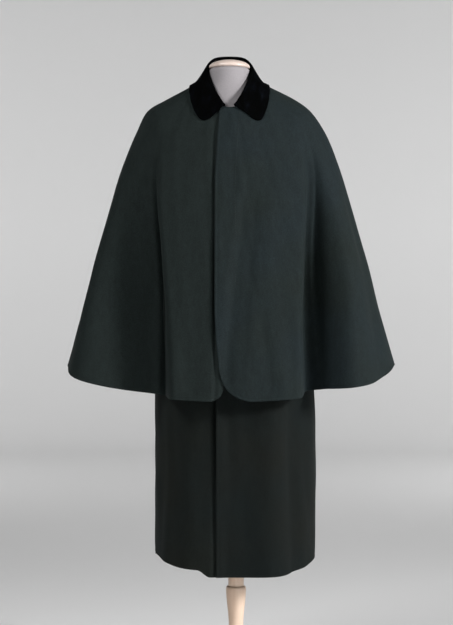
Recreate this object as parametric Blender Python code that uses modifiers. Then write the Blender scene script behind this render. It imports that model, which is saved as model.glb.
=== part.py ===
"""Evening cloak on a limbless dress form.

A long sleeveless coat closed at the centre front, a hip-length cape over it and a velvet
turn-down collar, on a smooth cloth-covered torso with a turned wooden neck cap, shaft,
column and round base. Metres, +Z up. The front faces -Y and the wearer's left is +X.
The origin is the middle of the base's underside.
"""

import math
from collections import namedtuple

import bmesh
import bpy
from mathutils import Vector
from mathutils.bvhtree import BVHTree

# ---------------------------------------------------------------- driving dimensions

COAT_WALL = 0.0020          # heavy milled wool
CAPE_WALL = 0.0022
COLLAR_WALL = 0.0024        # velvet over canvas
SEAM_GAP = 0.0003           # between pieces that are sewn or that rest on each other

NECK_X = -0.0163            # the form leans 16 mm to the wearer's right at the neck

LEFT_EDGE_X = -0.0500       # front edge of the wearer's left fronts, which lap on top
COAT_RIGHT_EDGE_X = -0.0050
COAT_LAP_LIFT = 0.0030      # the left front's inner face over the right one's inner face
CAPE_LAP_LIFT = 0.0034
NARROW_SHARE = 0.010        # the share of a panel's width in the narrow columns at its seams
LAP_EASE = 0.070            # width over which a lapping front sinks back to the panel

CAPE_NECK_EDGE_X = -0.0412  # the cape's left front edge at the neck
CAPE_LEFT_CORNER = 0.085    # rounded lower corner of the wearer's left cape front
CAPE_RIGHT_CORNER = 0.034
CAPE_WING_RISES = {1: 0.0085, -1: 0.0015}   # of the wings' hem beyond the front folds
CAPE_LEFT_EDGE_HEM_X = -0.0440
CAPE_RIGHT_EDGE_TOP_X = -0.0120
CAPE_RIGHT_EDGE_HEM_X = -0.0320

ARMHOLE_TOP = 0.135         # metres down the coat from its neckline
ARMHOLE_BOTTOM = 0.350
ARMHOLE_HALF_ANGLE = 27.0   # degrees of the coat's section, each side of the middle

HEM_STEP_RISE = 0.0145       # the right front's hem rises beside its lower front edge
HEM_STEP_FROM_X = -0.064
HEM_STEP_TO_X = -0.096

SHAFT_DIAMETER = 0.039      # an inch and a half
COLUMN_TOP_DIAMETER = 0.050
COLUMN_WAIST_DIAMETER = 0.036
COLUMN_TOP_Z = 0.2715
BASE_DIAMETER = 0.400
BASE_THICKNESS = 0.030
CAP_DIAMETER = 0.102
CAP_RISE = 0.0215
NECK_TOP_Z = 1.5630

# ---------------------------------------------------------------- tables of sections

# One row is one closed section: its height at the front, sides and back, its middle, its
# half-widths to the wearer's right (-X) and left (+X), its depths to the front and back,
# how square it is (2 is an ellipse), and how much of its rise sits at the very sides.
Ring = namedtuple(
    "Ring",
    "name z_front z_side z_back mid_x mid_y right left front back square tip",
)

FORM_RINGS = [
    Ring("neck top", 1.5630, 1.5630, 1.5630, -0.0163, 0.000, 0.0500, 0.0500, 0.0510, 0.0500, 2.0, 0),
    Ring("neck", 1.5300, 1.5380, 1.5420, -0.0163, 0.000, 0.0500, 0.0500, 0.0540, 0.0505, 2.0, 0),
    Ring("neck base", 1.4900, 1.5170, 1.5250, -0.0160, 0.000, 0.0640, 0.0640, 0.0690, 0.0600, 2.0, 0),
    Ring("collar bone", 1.4450, 1.5045, 1.5020, -0.0150, 0.000, 0.1010, 0.1010, 0.0900, 0.0840, 2.0, 0),
    Ring("mid shoulder", 1.3950, 1.4774, 1.4720, -0.0145, 0.000, 0.1560, 0.1560, 0.1080, 0.1060, 2.0, 0),
    Ring("shoulder point", 1.3400, 1.4480, 1.4330, -0.0145, 0.000, 0.1930, 0.1900, 0.1150, 0.1180, 2.1, 0),
    Ring("shoulder end", 1.2900, 1.4070, 1.3860, -0.0140, 0.000, 0.1960, 0.1960, 0.1190, 0.1240, 2.1, 0),
    Ring("shoulder under", 1.2500, 1.3500, 1.3350, -0.0140, 0.000, 0.1820, 0.1820, 0.1190, 0.1240, 2.1, 0),
    Ring("chest", 1.1900, 1.2600, 1.2600, -0.0130, 0.002, 0.1660, 0.1660, 0.1150, 0.1180, 2.1, 0),
    Ring("waist", 1.0500, 1.0700, 1.0700, -0.0100, 0.005, 0.1450, 0.1450, 0.1020, 0.0920, 2.1, 0),
    Ring("hip", 0.9100, 0.9200, 0.9200, -0.0060, 0.008, 0.1660, 0.1660, 0.1120, 0.1200, 2.1, 0),
    Ring("seat", 0.8500, 0.8500, 0.8500, -0.0040, 0.008, 0.1690, 0.1690, 0.1100, 0.1240, 2.1, 0),
    Ring("underside", 0.8150, 0.8150, 0.8150, -0.0030, 0.006, 0.1480, 0.1480, 0.0950, 0.1040, 2.1, 0),
]

COAT_RINGS = [
    Ring("neckline", 1.4480, 1.5290, 1.5540, -0.0163, 0.000, 0.0660, 0.0660, 0.0990, 0.0620, 2.0, 0),
    Ring("collar bone", 1.4250, 1.5085, 1.5190, -0.0150, 0.000, 0.1010, 0.1010, 0.1085, 0.0860, 2.0, 0),
    Ring("mid shoulder", 1.3900, 1.4790, 1.4760, -0.0145, 0.000, 0.1565, 0.1565, 0.1220, 0.1080, 2.0, 0),
    Ring("shoulder point", 1.3400, 1.4520, 1.4370, -0.0145, 0.000, 0.1960, 0.1930, 0.1340, 0.1220, 2.1, 0),
    Ring("shoulder end", 1.2900, 1.4100, 1.3900, -0.0140, 0.000, 0.2040, 0.2040, 0.1420, 0.1300, 2.1, 0),
    Ring("armhole", 1.2400, 1.3300, 1.3200, -0.0130, 0.004, 0.1950, 0.1950, 0.1500, 0.1360, 2.1, 0),
    Ring("chest", 1.1700, 1.2100, 1.2100, -0.0120, 0.010, 0.1900, 0.1900, 0.1600, 0.1300, 2.1, 0),
    Ring("waist", 1.0400, 1.0400, 1.0400, -0.0100, 0.020, 0.1880, 0.1880, 0.1730, 0.1250, 2.1, 0),
    Ring("hip", 0.8800, 0.8800, 0.8800, -0.0060, 0.033, 0.1950, 0.1950, 0.1900, 0.1350, 2.1, 0),
    Ring("thigh", 0.7200, 0.7200, 0.7200, -0.0022, 0.042, 0.1995, 0.1995, 0.2020, 0.1480, 2.1, 0),
    Ring("knee", 0.5400, 0.5420, 0.5420, -0.0012, 0.048, 0.2005, 0.2005, 0.2110, 0.1580, 2.1, 0),
    Ring("hem", 0.3170, 0.3430, 0.3240, -0.0026, 0.052, 0.1990, 0.1990, 0.2190, 0.1660, 2.6, 0.60),
]

CAPE_RINGS = [
    Ring("neckline", 1.4510, 1.5268, 1.5505, -0.0163, 0.000, 0.0770, 0.0757, 0.1080, 0.0700, 2.0, 0),
    Ring("collar bone", 1.4250, 1.5115, 1.5210, -0.0150, 0.000, 0.1045, 0.1030, 0.1190, 0.0890, 2.0, 0),
    Ring("mid shoulder", 1.3900, 1.4820, 1.4790, -0.0145, 0.000, 0.1600, 0.1605, 0.1320, 0.1120, 2.0, 0),
    Ring("shoulder point", 1.3400, 1.4560, 1.4400, -0.0145, 0.000, 0.2025, 0.1965, 0.1440, 0.1270, 2.1, 0),
    Ring("shoulder end", 1.2850, 1.4060, 1.3900, -0.0145, 0.000, 0.2295, 0.2320, 0.1550, 0.1390, 2.1, 0),
    Ring("upper arm", 1.2200, 1.3240, 1.3100, -0.0145, 0.000, 0.2650, 0.2680, 0.1660, 0.1530, 2.1, 0),
    Ring("chest", 1.1250, 1.2100, 1.2000, -0.0145, 0.000, 0.2995, 0.3020, 0.1770, 0.1680, 2.05, 0),
    Ring("elbow", 1.0000, 1.0700, 1.0500, -0.0145, 0.000, 0.3390, 0.3430, 0.1870, 0.1840, 2.0, 0.2),
    Ring("forearm", 0.8700, 0.9400, 0.8950, -0.0145, 0.000, 0.3740, 0.3780, 0.1950, 0.1990, 2.0, 0.4),
    Ring("hem", 0.7410, 0.8230, 0.7560, -0.0145, 0.000, 0.4070, 0.4110, 0.2020, 0.2140, 2.0, 0.45),
]

# One row is one fold of the cloth: the angle of its middle at its top and at the hem (0 is
# the front, +90 the wearer's left), how far down it starts and is at its full depth in
# metres from the neckline, its depth inward, and its width to each side at the hem.
Fold = namedtuple("Fold", "name angle_top angle_hem start full depth below_angle above_angle")

CAPE_FOLDS = [
    Fold("right front valley", -60.0, -46.0, 0.160, 0.620, 0.096, 0.180, 0.046),
    Fold("left front valley", 63.0, 51.0, 0.120, 0.600, 0.094, 0.046, 0.075),
    Fold("right wing ridge", -79.0, -77.0, 0.200, 0.650, -0.018, 0.060, 0.050),
    Fold("left wing ridge", 76.0, 68.0, 0.200, 0.650, -0.018, 0.060, 0.060),
    Fold("left front trough", 26.0, 9.0, 0.160, 0.560, 0.012, 0.030, 0.060),
    Fold("left back valley", 112.0, 124.0, 0.150, 0.560, 0.034, 0.090, 0.045),
    Fold("right back valley", -114.0, -127.0, 0.150, 0.560, 0.036, 0.045, 0.090),
    Fold("middle back trough", 176.0, 172.0, 0.220, 0.600, 0.014, 0.060, 0.070),
]

CAPE_TRACKS = {
    1: ("left front valley", "left back valley"),
    -1: ("right front valley", "right back valley"),
}
CAPE_TRACK_SHARES = (0.36, 0.70)    # where those folds lie across a half of the cape
CAPE_TIP_SHARE = 0.54               # and where its side turns round

COAT_FOLDS = [
    Fold("left front ridge", 29.0, 25.0, 0.400, 0.900, -0.009, 0.065, 0.055),
    Fold("left side valley", 43.0, 41.0, 0.400, 0.900, 0.009, 0.050, 0.080),
    Fold("right front ridge", -36.0, -33.0, 0.400, 0.900, -0.008, 0.050, 0.060),
    Fold("left back valley", 138.0, 143.0, 0.400, 1.000, 0.016, 0.070, 0.050),
    Fold("right back valley", -137.0, -144.0, 0.400, 1.000, 0.018, 0.050, 0.070),
]

# One row is one section across half of the collar, from the middle of the back to the end
# of its front: the angle at which its stand is sewn to the coat's neckline, the top of the
# roll, and the fall's outer edge, whose lobes differ a little to the wearer's right and
# left. Across is measured from the middle of the neck.
CollarSection = namedtuple(
    "CollarSection",
    "name seam_angle roll_across roll_y roll_z edge_y right_across right_z left_across left_z",
)

COLLAR_SECTIONS = [
    CollarSection("back", 180.0, 0.0, 0.0690, 1.6024, 0.1060, 0.0, 1.5120, 0.0, 1.5120),
    CollarSection("back quarter", 148.0, 0.0318, 0.0590, 1.5984, 0.0880, 0.0590, 1.5100, 0.0590, 1.5100),
    CollarSection("side back", 118.0, 0.0488, 0.0330, 1.5842, 0.0440, 0.0910, 1.5130, 0.0905, 1.5130),
    CollarSection("side", 90.0, 0.0572, -0.0010, 1.5640, -0.0060, 0.1010, 1.5130, 0.1000, 1.5130),
    CollarSection("side front", 62.0, 0.0525, -0.0330, 1.5390, -0.0400, 0.0990, 1.4900, 0.0985, 1.4880),
    CollarSection("throat", 42.0, 0.0430, -0.0640, 1.5135, -0.0700, 0.0935, 1.4620, 0.0950, 1.4610),
    CollarSection("lobe top", 28.0, 0.0335, -0.0880, 1.4920, -0.0930, 0.0820, 1.4370, 0.0860, 1.4380),
    CollarSection("lobe", 20.0, 0.0250, -0.1020, 1.4755, -0.1080, 0.0660, 1.4225, 0.0735, 1.4215),
    CollarSection("lobe front", 14.5, 0.0190, -0.1080, 1.4660, -0.1150, 0.0480, 1.4250, 0.0560, 1.4260),
    CollarSection("corner", 10.5, 0.0155, -0.1124, 1.4630, -0.1170, 0.0345, 1.4370, 0.0370, 1.4400),
    CollarSection("front end", 8.0, 0.0125, -0.1146, 1.4590, -0.1165, 0.0235, 1.4475, 0.0190, 1.4520),
]

COLLAR_ROLL = 0.0038        # half the roll's thickness
COLLAR_OVER = 0.004         # the fall meets the cape this far below the cape's neckline
COLLAR_OVER_LIFT = 0.0048
COLLAR_AIR = 0.0013         # between the fall and the cape
COLLAR_SEAM_RISE = 0.0023   # the stand's lower edge over the middle of the coat's top edge
COLLAR_FALL_SHARE = 0.50    # where the fall starts on the way across from the seam
SEARCH_ABOVE = 0.007        # how far over the cape's top edge the fall already stands off
SEARCH_REACH = 0.030        # how far from the cape the fall's clearance is looked for

# ---------------------------------------------------------------- colours and finishes

Finish = namedtuple("Finish", "name colour roughness")
RIM_ANGLE = math.radians(50.0)
WOOL = Finish("wool", (0.014, 0.020, 0.021), 0.86)
VELVET = Finish("velvet", (0.0025, 0.003, 0.0045), 0.95)
FORM_CLOTH = Finish("form_cloth", (0.38, 0.35, 0.37), 0.80)
CAP_WOOD = Finish("cap_wood", (0.80, 0.66, 0.56), 0.42)
POLE_WOOD = Finish("pole_wood", (0.66, 0.45, 0.30), 0.42)


def material(finish):
    """The shared material of one finish."""
    made = bpy.data.materials.get(finish.name) or bpy.data.materials.new(finish.name)
    made.use_nodes = True
    shader = made.node_tree.nodes["Principled BSDF"]
    shader.inputs["Base Color"].default_value = (*finish.colour, 1.0)
    shader.inputs["Roughness"].default_value = finish.roughness
    shader.inputs["Metallic"].default_value = 0.0
    made.diffuse_color = (*finish.colour, 1.0)
    return made


# ---------------------------------------------------------------- cloth surfaces

def smooth(share):
    """An S-curve from 0 to 1."""
    share = min(max(share, 0.0), 1.0)
    return share * share * (3.0 - 2.0 * share)


def ring_point(ring, angle):
    """The point of one section at an angle in degrees."""
    across = math.sin(math.radians(angle))
    ahead = math.cos(math.radians(angle))
    half = ring.left if across >= 0.0 else ring.right
    depth = ring.front if ahead >= 0.0 else ring.back
    reach = (abs(across) / half) ** ring.square + (abs(ahead) / depth) ** ring.square
    radius = reach ** (-1.0 / ring.square)
    share = abs(radius * across) / half
    rise = (1.0 - ring.tip) * share ** 2 + ring.tip * share ** 8
    z_end = ring.z_front if ahead >= 0.0 else ring.z_back
    return Vector((
        ring.mid_x + radius * across,
        ring.mid_y - radius * ahead,
        z_end + (ring.z_side - z_end) * rise,
    ))


class Surface:
    """A smooth surface through rings, in degrees round it and metres down it."""

    def __init__(self, rings, folds=()):
        self.rings = rings
        self.folds = folds
        self.knots = [0.0]
        for upper, lower in zip(rings, rings[1:]):
            steps = [
                (ring_point(lower, angle) - ring_point(upper, angle)).length
                for angle in range(0, 360, 45)
            ]
            self.knots.append(self.knots[-1] + sum(steps) / len(steps))
        self.length = self.knots[-1]

    def plain(self, angle, down):
        """The surface before its folds, a cubic through the rings."""
        down = min(max(down, 0.0), self.length)
        span = 0
        while span < len(self.knots) - 2 and down > self.knots[span + 1]:
            span += 1
        start, end = self.knots[span], self.knots[span + 1]
        share = (down - start) / (end - start)
        near, far = ring_point(self.rings[span], angle), ring_point(self.rings[span + 1], angle)
        leave = self.slope(span, angle) * (end - start)
        arrive = self.slope(span + 1, angle) * (end - start)
        square, cube = share * share, share ** 3
        return (
            near * (2 * cube - 3 * square + 1)
            + leave * (cube - 2 * square + share)
            + far * (3 * square - 2 * cube)
            + arrive * (cube - square)
        )

    def slope(self, index, angle):
        """The direction down the surface at one ring."""
        last = len(self.rings) - 1
        here = ring_point(self.rings[index], angle)
        above = below = None
        if index > 0:
            gap_above = self.knots[index] - self.knots[index - 1]
            above = (here - ring_point(self.rings[index - 1], angle)) / gap_above
        if index < last:
            gap_below = self.knots[index + 1] - self.knots[index]
            below = (ring_point(self.rings[index + 1], angle) - here) / gap_below
        if above is None or below is None:
            return above or below
        return (above * gap_below + below * gap_above) / (gap_above + gap_below)

    def fold_angle(self, fold, down):
        """The angle of a fold's middle at a height."""
        along = min(max((down - fold.start) / (self.length - fold.start), 0.0), 1.0)
        return fold.angle_top + (fold.angle_hem - fold.angle_top) * along

    def fold_depth(self, angle, down):
        """How far the folds take the cloth inward at a place."""
        radius = 0.0
        depth = 0.0
        for fold in self.folds:
            grown = smooth((down - fold.start) / (fold.full - fold.start))
            if grown <= 0.0:
                continue
            if not radius:
                here = self.plain(angle, down)
                radius = math.hypot(here.x - self.rings[-1].mid_x, here.y)
            turn = (angle - self.fold_angle(fold, down) + 180.0) % 360.0 - 180.0
            away = math.radians(turn) * radius
            width = fold.above_angle if away > 0.0 else fold.below_angle
            share = min(abs(away) / (width * (0.45 + 0.55 * grown)), 1.0)
            depth += fold.depth * grown * 0.5 * (1.0 + math.cos(math.pi * share))
        return depth

    def folded(self, angle, down):
        """The surface with its folds, which push it in along the section's normal."""
        here = self.plain(angle, down)
        depth = self.fold_depth(angle, down)
        if depth:
            ahead = self.plain(angle + 1.0, down) - self.plain(angle - 1.0, down)
            outward = Vector((ahead.y, -ahead.x, 0.0)).normalized()
            here = here - outward * depth
        return here

    def point(self, angle, down, lift=0.0):
        """A point of the surface, moved out along its normal by lift."""
        here = self.folded(angle, down)
        if not lift:
            return here
        step = 0.004
        below = self.folded(angle, min(down + step, self.length))
        above = self.folded(angle, max(down - step, 0.0))
        around = self.folded(angle + 1.0, down) - self.folded(angle - 1.0, down)
        return here + around.cross(above - below).normalized() * lift

    def angle_at(self, across, down):
        """The angle near the centre front at which the surface is at x = across."""
        low, high = -60.0, 60.0
        for _ in range(26):
            middle = 0.5 * (low + high)
            if self.plain(middle, down).x < across:
                low = middle
            else:
                high = middle
        return 0.5 * (low + high)


def steps(first, last, count, focus=(), spread=10.0, weight=2.5):
    """Values from first to last, closer together round those in focus."""
    fine = 400
    total = [0.0]
    for index in range(fine):
        value = first + (last - first) * (index + 0.5) / fine
        pull = sum(math.exp(-(((value - middle) / spread) ** 2)) for middle in focus)
        total.append(total[-1] + 1.0 + weight * pull)
    values = []
    place = 0
    for number in range(count + 1):
        target = total[-1] * number / count
        while place < fine - 1 and total[place + 1] < target:
            place += 1
        share = (target - total[place]) / (total[place + 1] - total[place])
        values.append(first + (last - first) * (place + share) / fine)
    return values


def seam_steps(count, focus=(), spread=10.0, weight=2.5):
    """Shares from 0 to 1 with a narrow one at each end, so that seams meet squarely."""
    inner = steps(NARROW_SHARE, 1.0 - NARROW_SHARE, count - 2, focus, spread, weight)
    return [0.0, *inner, 1.0]


# ---------------------------------------------------------------- meshes

def sheet_mesh(name, rows, closed=False):
    """An open mesh of triangles through rows of points."""
    mesh = bpy.data.meshes.new(name)
    work = bmesh.new()
    grid = [[work.verts.new(point) for point in row] for row in rows]
    for upper, lower in zip(grid, grid[1:]):
        count = len(upper)
        for column in range(count if closed else count - 1):
            following = (column + 1) % count
            work.faces.new((upper[column], lower[column], lower[following], upper[following]))
    bmesh.ops.triangulate(work, faces=work.faces[:])
    work.to_mesh(mesh)
    work.free()
    return mesh


def add_object(name, mesh, finish):
    """An object in the cloak's collection, with the material of its finish."""
    made = bpy.data.objects.new(name, mesh)
    made.data.materials.append(material(finish))
    CLOAK.objects.link(made)
    return made


def add_wall(name, rows, thickness, finish, offset=1.0):
    """A wall of cloth: an open sheet of its inner face, thickened outward."""
    wall = add_object(name, sheet_mesh(name, rows), finish)
    solidify = wall.modifiers.new("thickness", "SOLIDIFY")
    solidify.thickness = thickness
    solidify.offset = offset
    shown = wall.evaluated_get(bpy.context.evaluated_depsgraph_get())
    wall.data = bpy.data.meshes.new_from_object(shown)
    wall.modifiers.clear()
    wall.data.shade_smooth()
    wall.data.set_sharp_from_angle(angle=RIM_ANGLE)
    return wall


def add_turned(name, profile, finish, sides):
    """A turned piece: a profile at +X, top to bottom, screwed round the Z axis."""
    mesh = bpy.data.meshes.new(name)
    points = [Vector((radius, 0.0, z)) for radius, z in profile]
    edges = [(index, index + 1) for index in range(len(points) - 1)]
    mesh.from_pydata(points, edges, [])
    made = add_object(name, mesh, finish)
    screw = made.modifiers.new("turned", "SCREW")
    screw.axis = "Z"
    screw.steps = sides
    screw.render_steps = sides
    screw.use_merge_vertices = True
    screw.merge_threshold = 0.00005
    screw.use_smooth_shade = True
    return made


# ---------------------------------------------------------------- coat and cape panels

COAT = Surface(COAT_RINGS, COAT_FOLDS)
CAPE = Surface(CAPE_RINGS, CAPE_FOLDS)
FORM = Surface(FORM_RINGS)


def degrees_of(gap, surface, angle, down):
    """The angle that a small distance round the surface covers."""
    step = (surface.plain(angle + 0.5, down) - surface.plain(angle - 0.5, down)).length
    return gap / step


def armhole_half_angle(down):
    """Half the armhole's width at a height of the coat, in degrees."""
    middle = 0.5 * (ARMHOLE_TOP + ARMHOLE_BOTTOM)
    share = (down - middle) / (ARMHOLE_BOTTOM - middle)
    if abs(share) >= 1.0:
        return 0.0
    return ARMHOLE_HALF_ANGLE * math.sqrt(1.0 - share * share)


def side_edge(side, down, inward):
    """The angle of a coat panel's edge at the shoulder, armhole and side seam."""
    half = armhole_half_angle(down)
    seam = degrees_of(0.5 * SEAM_GAP, COAT, side * 90.0, down)
    return side * 90.0 + inward * max(half, seam)


def lap_lift(place_x, edge_x, lift):
    """How far a lapping front stands out, easing back beside the lap."""
    inside = place_x - edge_x - 0.055
    return lift * (1.0 - smooth(inside / LAP_EASE))


def coat_rows_down(count):
    """The heights of the coat's rows, closer round the armhole's ends and the hem."""
    return steps(0.0, 1.0, count, focus=(ARMHOLE_TOP / COAT.length, ARMHOLE_BOTTOM / COAT.length),
                 spread=0.02, weight=2.0)


def hem_rise(place_x):
    """The step in the hem of the wearer's right front."""
    share = (HEM_STEP_FROM_X - place_x) / (HEM_STEP_FROM_X - HEM_STEP_TO_X)
    return HEM_STEP_RISE * smooth(share)


def coat_front(side, rows, columns):
    """The rows of points of a coat front; side is +1 for the wearer's left."""
    edge_x = LEFT_EDGE_X if side > 0 else COAT_RIGHT_EDGE_X
    shares = seam_steps(columns, focus=(0.0, 0.35), spread=0.12, weight=1.2)
    grid = []
    for row_share in coat_rows_down(rows):
        row = []
        level = row_share * COAT.length
        first = COAT.angle_at(edge_x, level)
        last = side_edge(side, level, -side)
        for share in shares:
            angle = first + (last - first) * share
            down = level
            place_x = COAT.plain(angle, level).x
            if side < 0:
                down -= hem_rise(place_x) * smooth((row_share - 0.80) / 0.20)
            lift = lap_lift(place_x, edge_x, COAT_LAP_LIFT) if side > 0 else 0.0
            row.append(COAT.point(angle, down, lift))
        grid.append(row if side > 0 else row[::-1])
    return grid


def coat_back(rows, columns):
    """The rows of points of the coat's back, from the wearer's left side to the right."""
    grid = []
    for row_share in coat_rows_down(rows):
        level = row_share * COAT.length
        first = side_edge(1, level, 1)
        last = 360.0 + side_edge(-1, level, -1)
        row = [COAT.point(first + (last - first) * share, level) for share in seam_steps(columns)]
        grid.append(row)
    return grid


def cape_edge_x(side, height_share, above_hem):
    """Where a cape front's edge runs, with its rounded lower corner."""
    if side > 0:
        edge = CAPE_NECK_EDGE_X + (-0.0520 - CAPE_NECK_EDGE_X) * smooth(height_share / 0.30)
        edge += (CAPE_LEFT_EDGE_HEM_X + 0.0520) * smooth((height_share - 0.70) / 0.25)
        corner = CAPE_LEFT_CORNER
    else:
        fall = CAPE_RIGHT_EDGE_HEM_X - CAPE_RIGHT_EDGE_TOP_X
        edge = CAPE_RIGHT_EDGE_TOP_X + fall * height_share
        corner = CAPE_RIGHT_CORNER
    inside = max(corner - above_hem, 0.0)
    return edge + side * (corner - math.sqrt(corner * corner - inside * inside))


def cape_rows_down(count):
    """The shares of the cape's length at its rows, close together at the rounded corner."""
    upper = steps(0.0, 0.90, count - 6, focus=(0.0,), spread=0.12, weight=1.0)
    return upper + [0.935, 0.962, 0.980, 0.991, 0.9975, 1.0]


def cape_hem_rise(side, angle, row_share):
    """The wings' hem is a little higher than the front's, beyond the folds."""
    turn = min(abs(angle), 360.0 - abs(angle))
    beyond = smooth((turn - 42.0) / 10.0) * (1.0 - smooth((turn - 58.0) / 24.0))
    return CAPE_WING_RISES[side] * beyond * smooth((row_share - 0.75) / 0.25)


def cape_angle(side, share, first, last, level):
    """The angle at a share of a cape half's width, its columns following the deep folds."""
    folds = [fold for fold in CAPE_FOLDS if fold.name in CAPE_TRACKS[side]]
    shares = [0.0, *CAPE_TRACK_SHARES, 1.0]
    angles = [first, *(CAPE.fold_angle(fold, level) for fold in folds), last]
    for left, right, start, end in zip(shares, shares[1:], angles, angles[1:]):
        if share <= right:
            return start + (end - start) * (share - left) / (right - left)
    return last


def cape_half(side, rows, columns, moved_out=0.0):
    """The rows of points of one half of the cape, from its front edge to the back seam."""
    focus = (*CAPE_TRACK_SHARES, CAPE_TIP_SHARE)
    shares = seam_steps(columns, focus, spread=0.055, weight=2.4)
    grid = []
    for row_share in cape_rows_down(rows):
        level = row_share * CAPE.length
        edge_x = cape_edge_x(side, row_share, CAPE.length - level)
        first = CAPE.angle_at(edge_x, level)
        last = side * 180.0 - side * degrees_of(0.5 * SEAM_GAP, CAPE, 180.0, level)
        row = []
        for share in shares:
            angle = cape_angle(side, share, first, last, level)
            lift = 0.0
            if side > 0 and angle < 90.0:
                lift = lap_lift(CAPE.plain(angle, level).x, LEFT_EDGE_X, CAPE_LAP_LIFT)
            down = level - cape_hem_rise(side, angle, row_share)
            row.append(CAPE.point(angle, down, lift + moved_out))
        grid.append(row if side > 0 else row[::-1])
    return grid


# ---------------------------------------------------------------- collar

def curve_through(points, count):
    """Points along a smooth curve through the given ones."""
    padded = [points[0] * 2 - points[1], *points, points[-1] * 2 - points[-2]]
    spans = len(points) - 1
    made = []
    for number in range(count + 1):
        place = min(number * spans / count, spans - 1e-9)
        span = int(place)
        share = place - span
        before, near, far, after = padded[span:span + 4]
        made.append(0.5 * (
            near * 2
            + (far - before) * share
            + (before * 2 - near * 5 + far * 4 - after) * share ** 2
            + (near * 3 - before - far * 3 + after) * share ** 3
        ))
    return made


def collar_seam(angle):
    """Where the stand is sewn to the coat, out over the lapping front's top edge."""
    place_x = COAT.point(angle, 0.0).x
    lift = 0.0
    if place_x > LEFT_EDGE_X and abs(angle) < 90.0:
        lift = lap_lift(place_x, LEFT_EDGE_X, COAT_LAP_LIFT)
    return COAT.point(angle, 0.0, lift + 0.5 * COAT_WALL) + Vector((0.0, 0.0, COLLAR_SEAM_RISE))


def collar_path(section, side):
    """The control points across the collar: stand, roll and fall."""
    seam = collar_seam(side * section.seam_angle)
    roll = Vector((NECK_X + side * section.roll_across, section.roll_y, section.roll_z))
    across, height = section.left_across, section.left_z
    if side < 0:
        across, height = section.right_across, section.right_z
    edge = Vector((NECK_X + side * across, section.edge_y, height))
    outward = (edge - seam).to_2d().to_3d().normalized()
    rise = min(COLLAR_ROLL, 0.45 * (roll.z - seam.z))
    inner = roll - outward * COLLAR_ROLL - Vector((0.0, 0.0, rise))
    outer = roll + outward * COLLAR_ROLL - Vector((0.0, 0.0, rise))
    over = outer.lerp(edge, 0.35)
    if section.seam_angle > 45.0:
        over = CAPE.point(side * section.seam_angle, COLLAR_OVER, COLLAR_OVER_LIFT)
    return [seam, inner, roll, outer, over, over.lerp(edge, 0.5), edge]


def collar_rows(across, along, panels):
    """The rows of points of the whole collar, its fall kept clear of the cape under it."""
    stations = [collar_path(section, -1) for section in reversed(COLLAR_SECTIONS)]
    stations += [collar_path(section, 1) for section in COLLAR_SECTIONS[1:]]
    lines = [curve_through([station[place] for station in stations], along)
             for place in range(len(stations[0]))]
    turns = [section.seam_angle for section in reversed(COLLAR_SECTIONS)]
    turns += [360.0 - section.seam_angle for section in COLLAR_SECTIONS[1:]]
    seam_turns = curve_through([Vector((turn, 0.0)) for turn in turns], along)
    lines[0] = [collar_seam(-turn.x if turn.x < 180.0 else 360.0 - turn.x) for turn in seam_turns]
    columns = [curve_through([line[column] for line in lines], across) for column in range(along + 1)]
    grid = [list(row) for row in zip(*columns)]
    return kept_clear(grid, round(COLLAR_FALL_SHARE * across), panels)


def kept_clear(grid, first_row, panels):
    """The grid with its fall moved out to clear the panels, the push eased over the cloth."""
    guide = outer_tree([
        [CAPE.point(angle, 0.25 * CAPE.length * level) for angle in range(0, 361, 10)]
        for level in (0.0, 0.1, 0.2, 0.3, 0.5, 0.7, 1.0)
    ])
    normals = [[guide.find_nearest(point)[1] for point in row] for row in grid]
    needs = []
    for place, row in enumerate(grid):
        pushes = [push_needed(point, normal, panels) for point, normal in zip(row, normals[place])]
        needs.append(pushes if place >= first_row else [0.0] * len(row))
    pushes = needs
    for _ in range(8):
        pushes = eased(pushes, needs, first_row)
    return [
        [point + normal * push for point, normal, push in zip(row, out, moved)]
        for row, out, moved in zip(grid, normals, pushes)
    ]


def push_needed(point, normal, panels):
    """How far a point must move out to leave half its wall and some air over the panels."""
    clearance = 0.5 * COLLAR_WALL + COLLAR_AIR
    needed = 0.0
    for panel in panels:
        hit, _, _, distance = panel.ray_cast(point + normal * SEARCH_REACH, -normal, 2.0 * SEARCH_REACH)
        if hit:
            needed = max(needed, clearance - (distance - SEARCH_REACH))
    return needed


def eased(pushes, needs, first_row):
    """The pushes spread to their neighbours, none less than is needed."""
    last_row, last = len(pushes) - 1, len(pushes[0]) - 1
    spread = []
    for place, row in enumerate(pushes):
        above, below = pushes[max(place - 1, 0)], pushes[min(place + 1, last_row)]
        made = []
        for column in range(last + 1):
            sides = row[max(column - 1, 0)] + row[min(column + 1, last)]
            mean = 0.25 * (sides + above[column] + below[column])
            made.append(max(mean, needs[place][column]) if place >= first_row else 0.0)
        spread.append(made)
    return spread


def outer_tree(rows):
    """A search tree of the outer face through rows of points, run on over its top edge."""
    over = [top + (top - below).normalized() * SEARCH_ABOVE for top, below in zip(rows[0], rows[1])]
    rows = [over, *rows]
    count = len(rows[0])
    points = [point for row in rows for point in row]
    faces = []
    for row in range(len(rows) - 1):
        for column in range(count - 1):
            corner = row * count + column
            faces.append((corner, corner + count, corner + count + 1, corner + 1))
    return BVHTree.FromPolygons(points, faces)


# ---------------------------------------------------------------- form and stand

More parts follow.
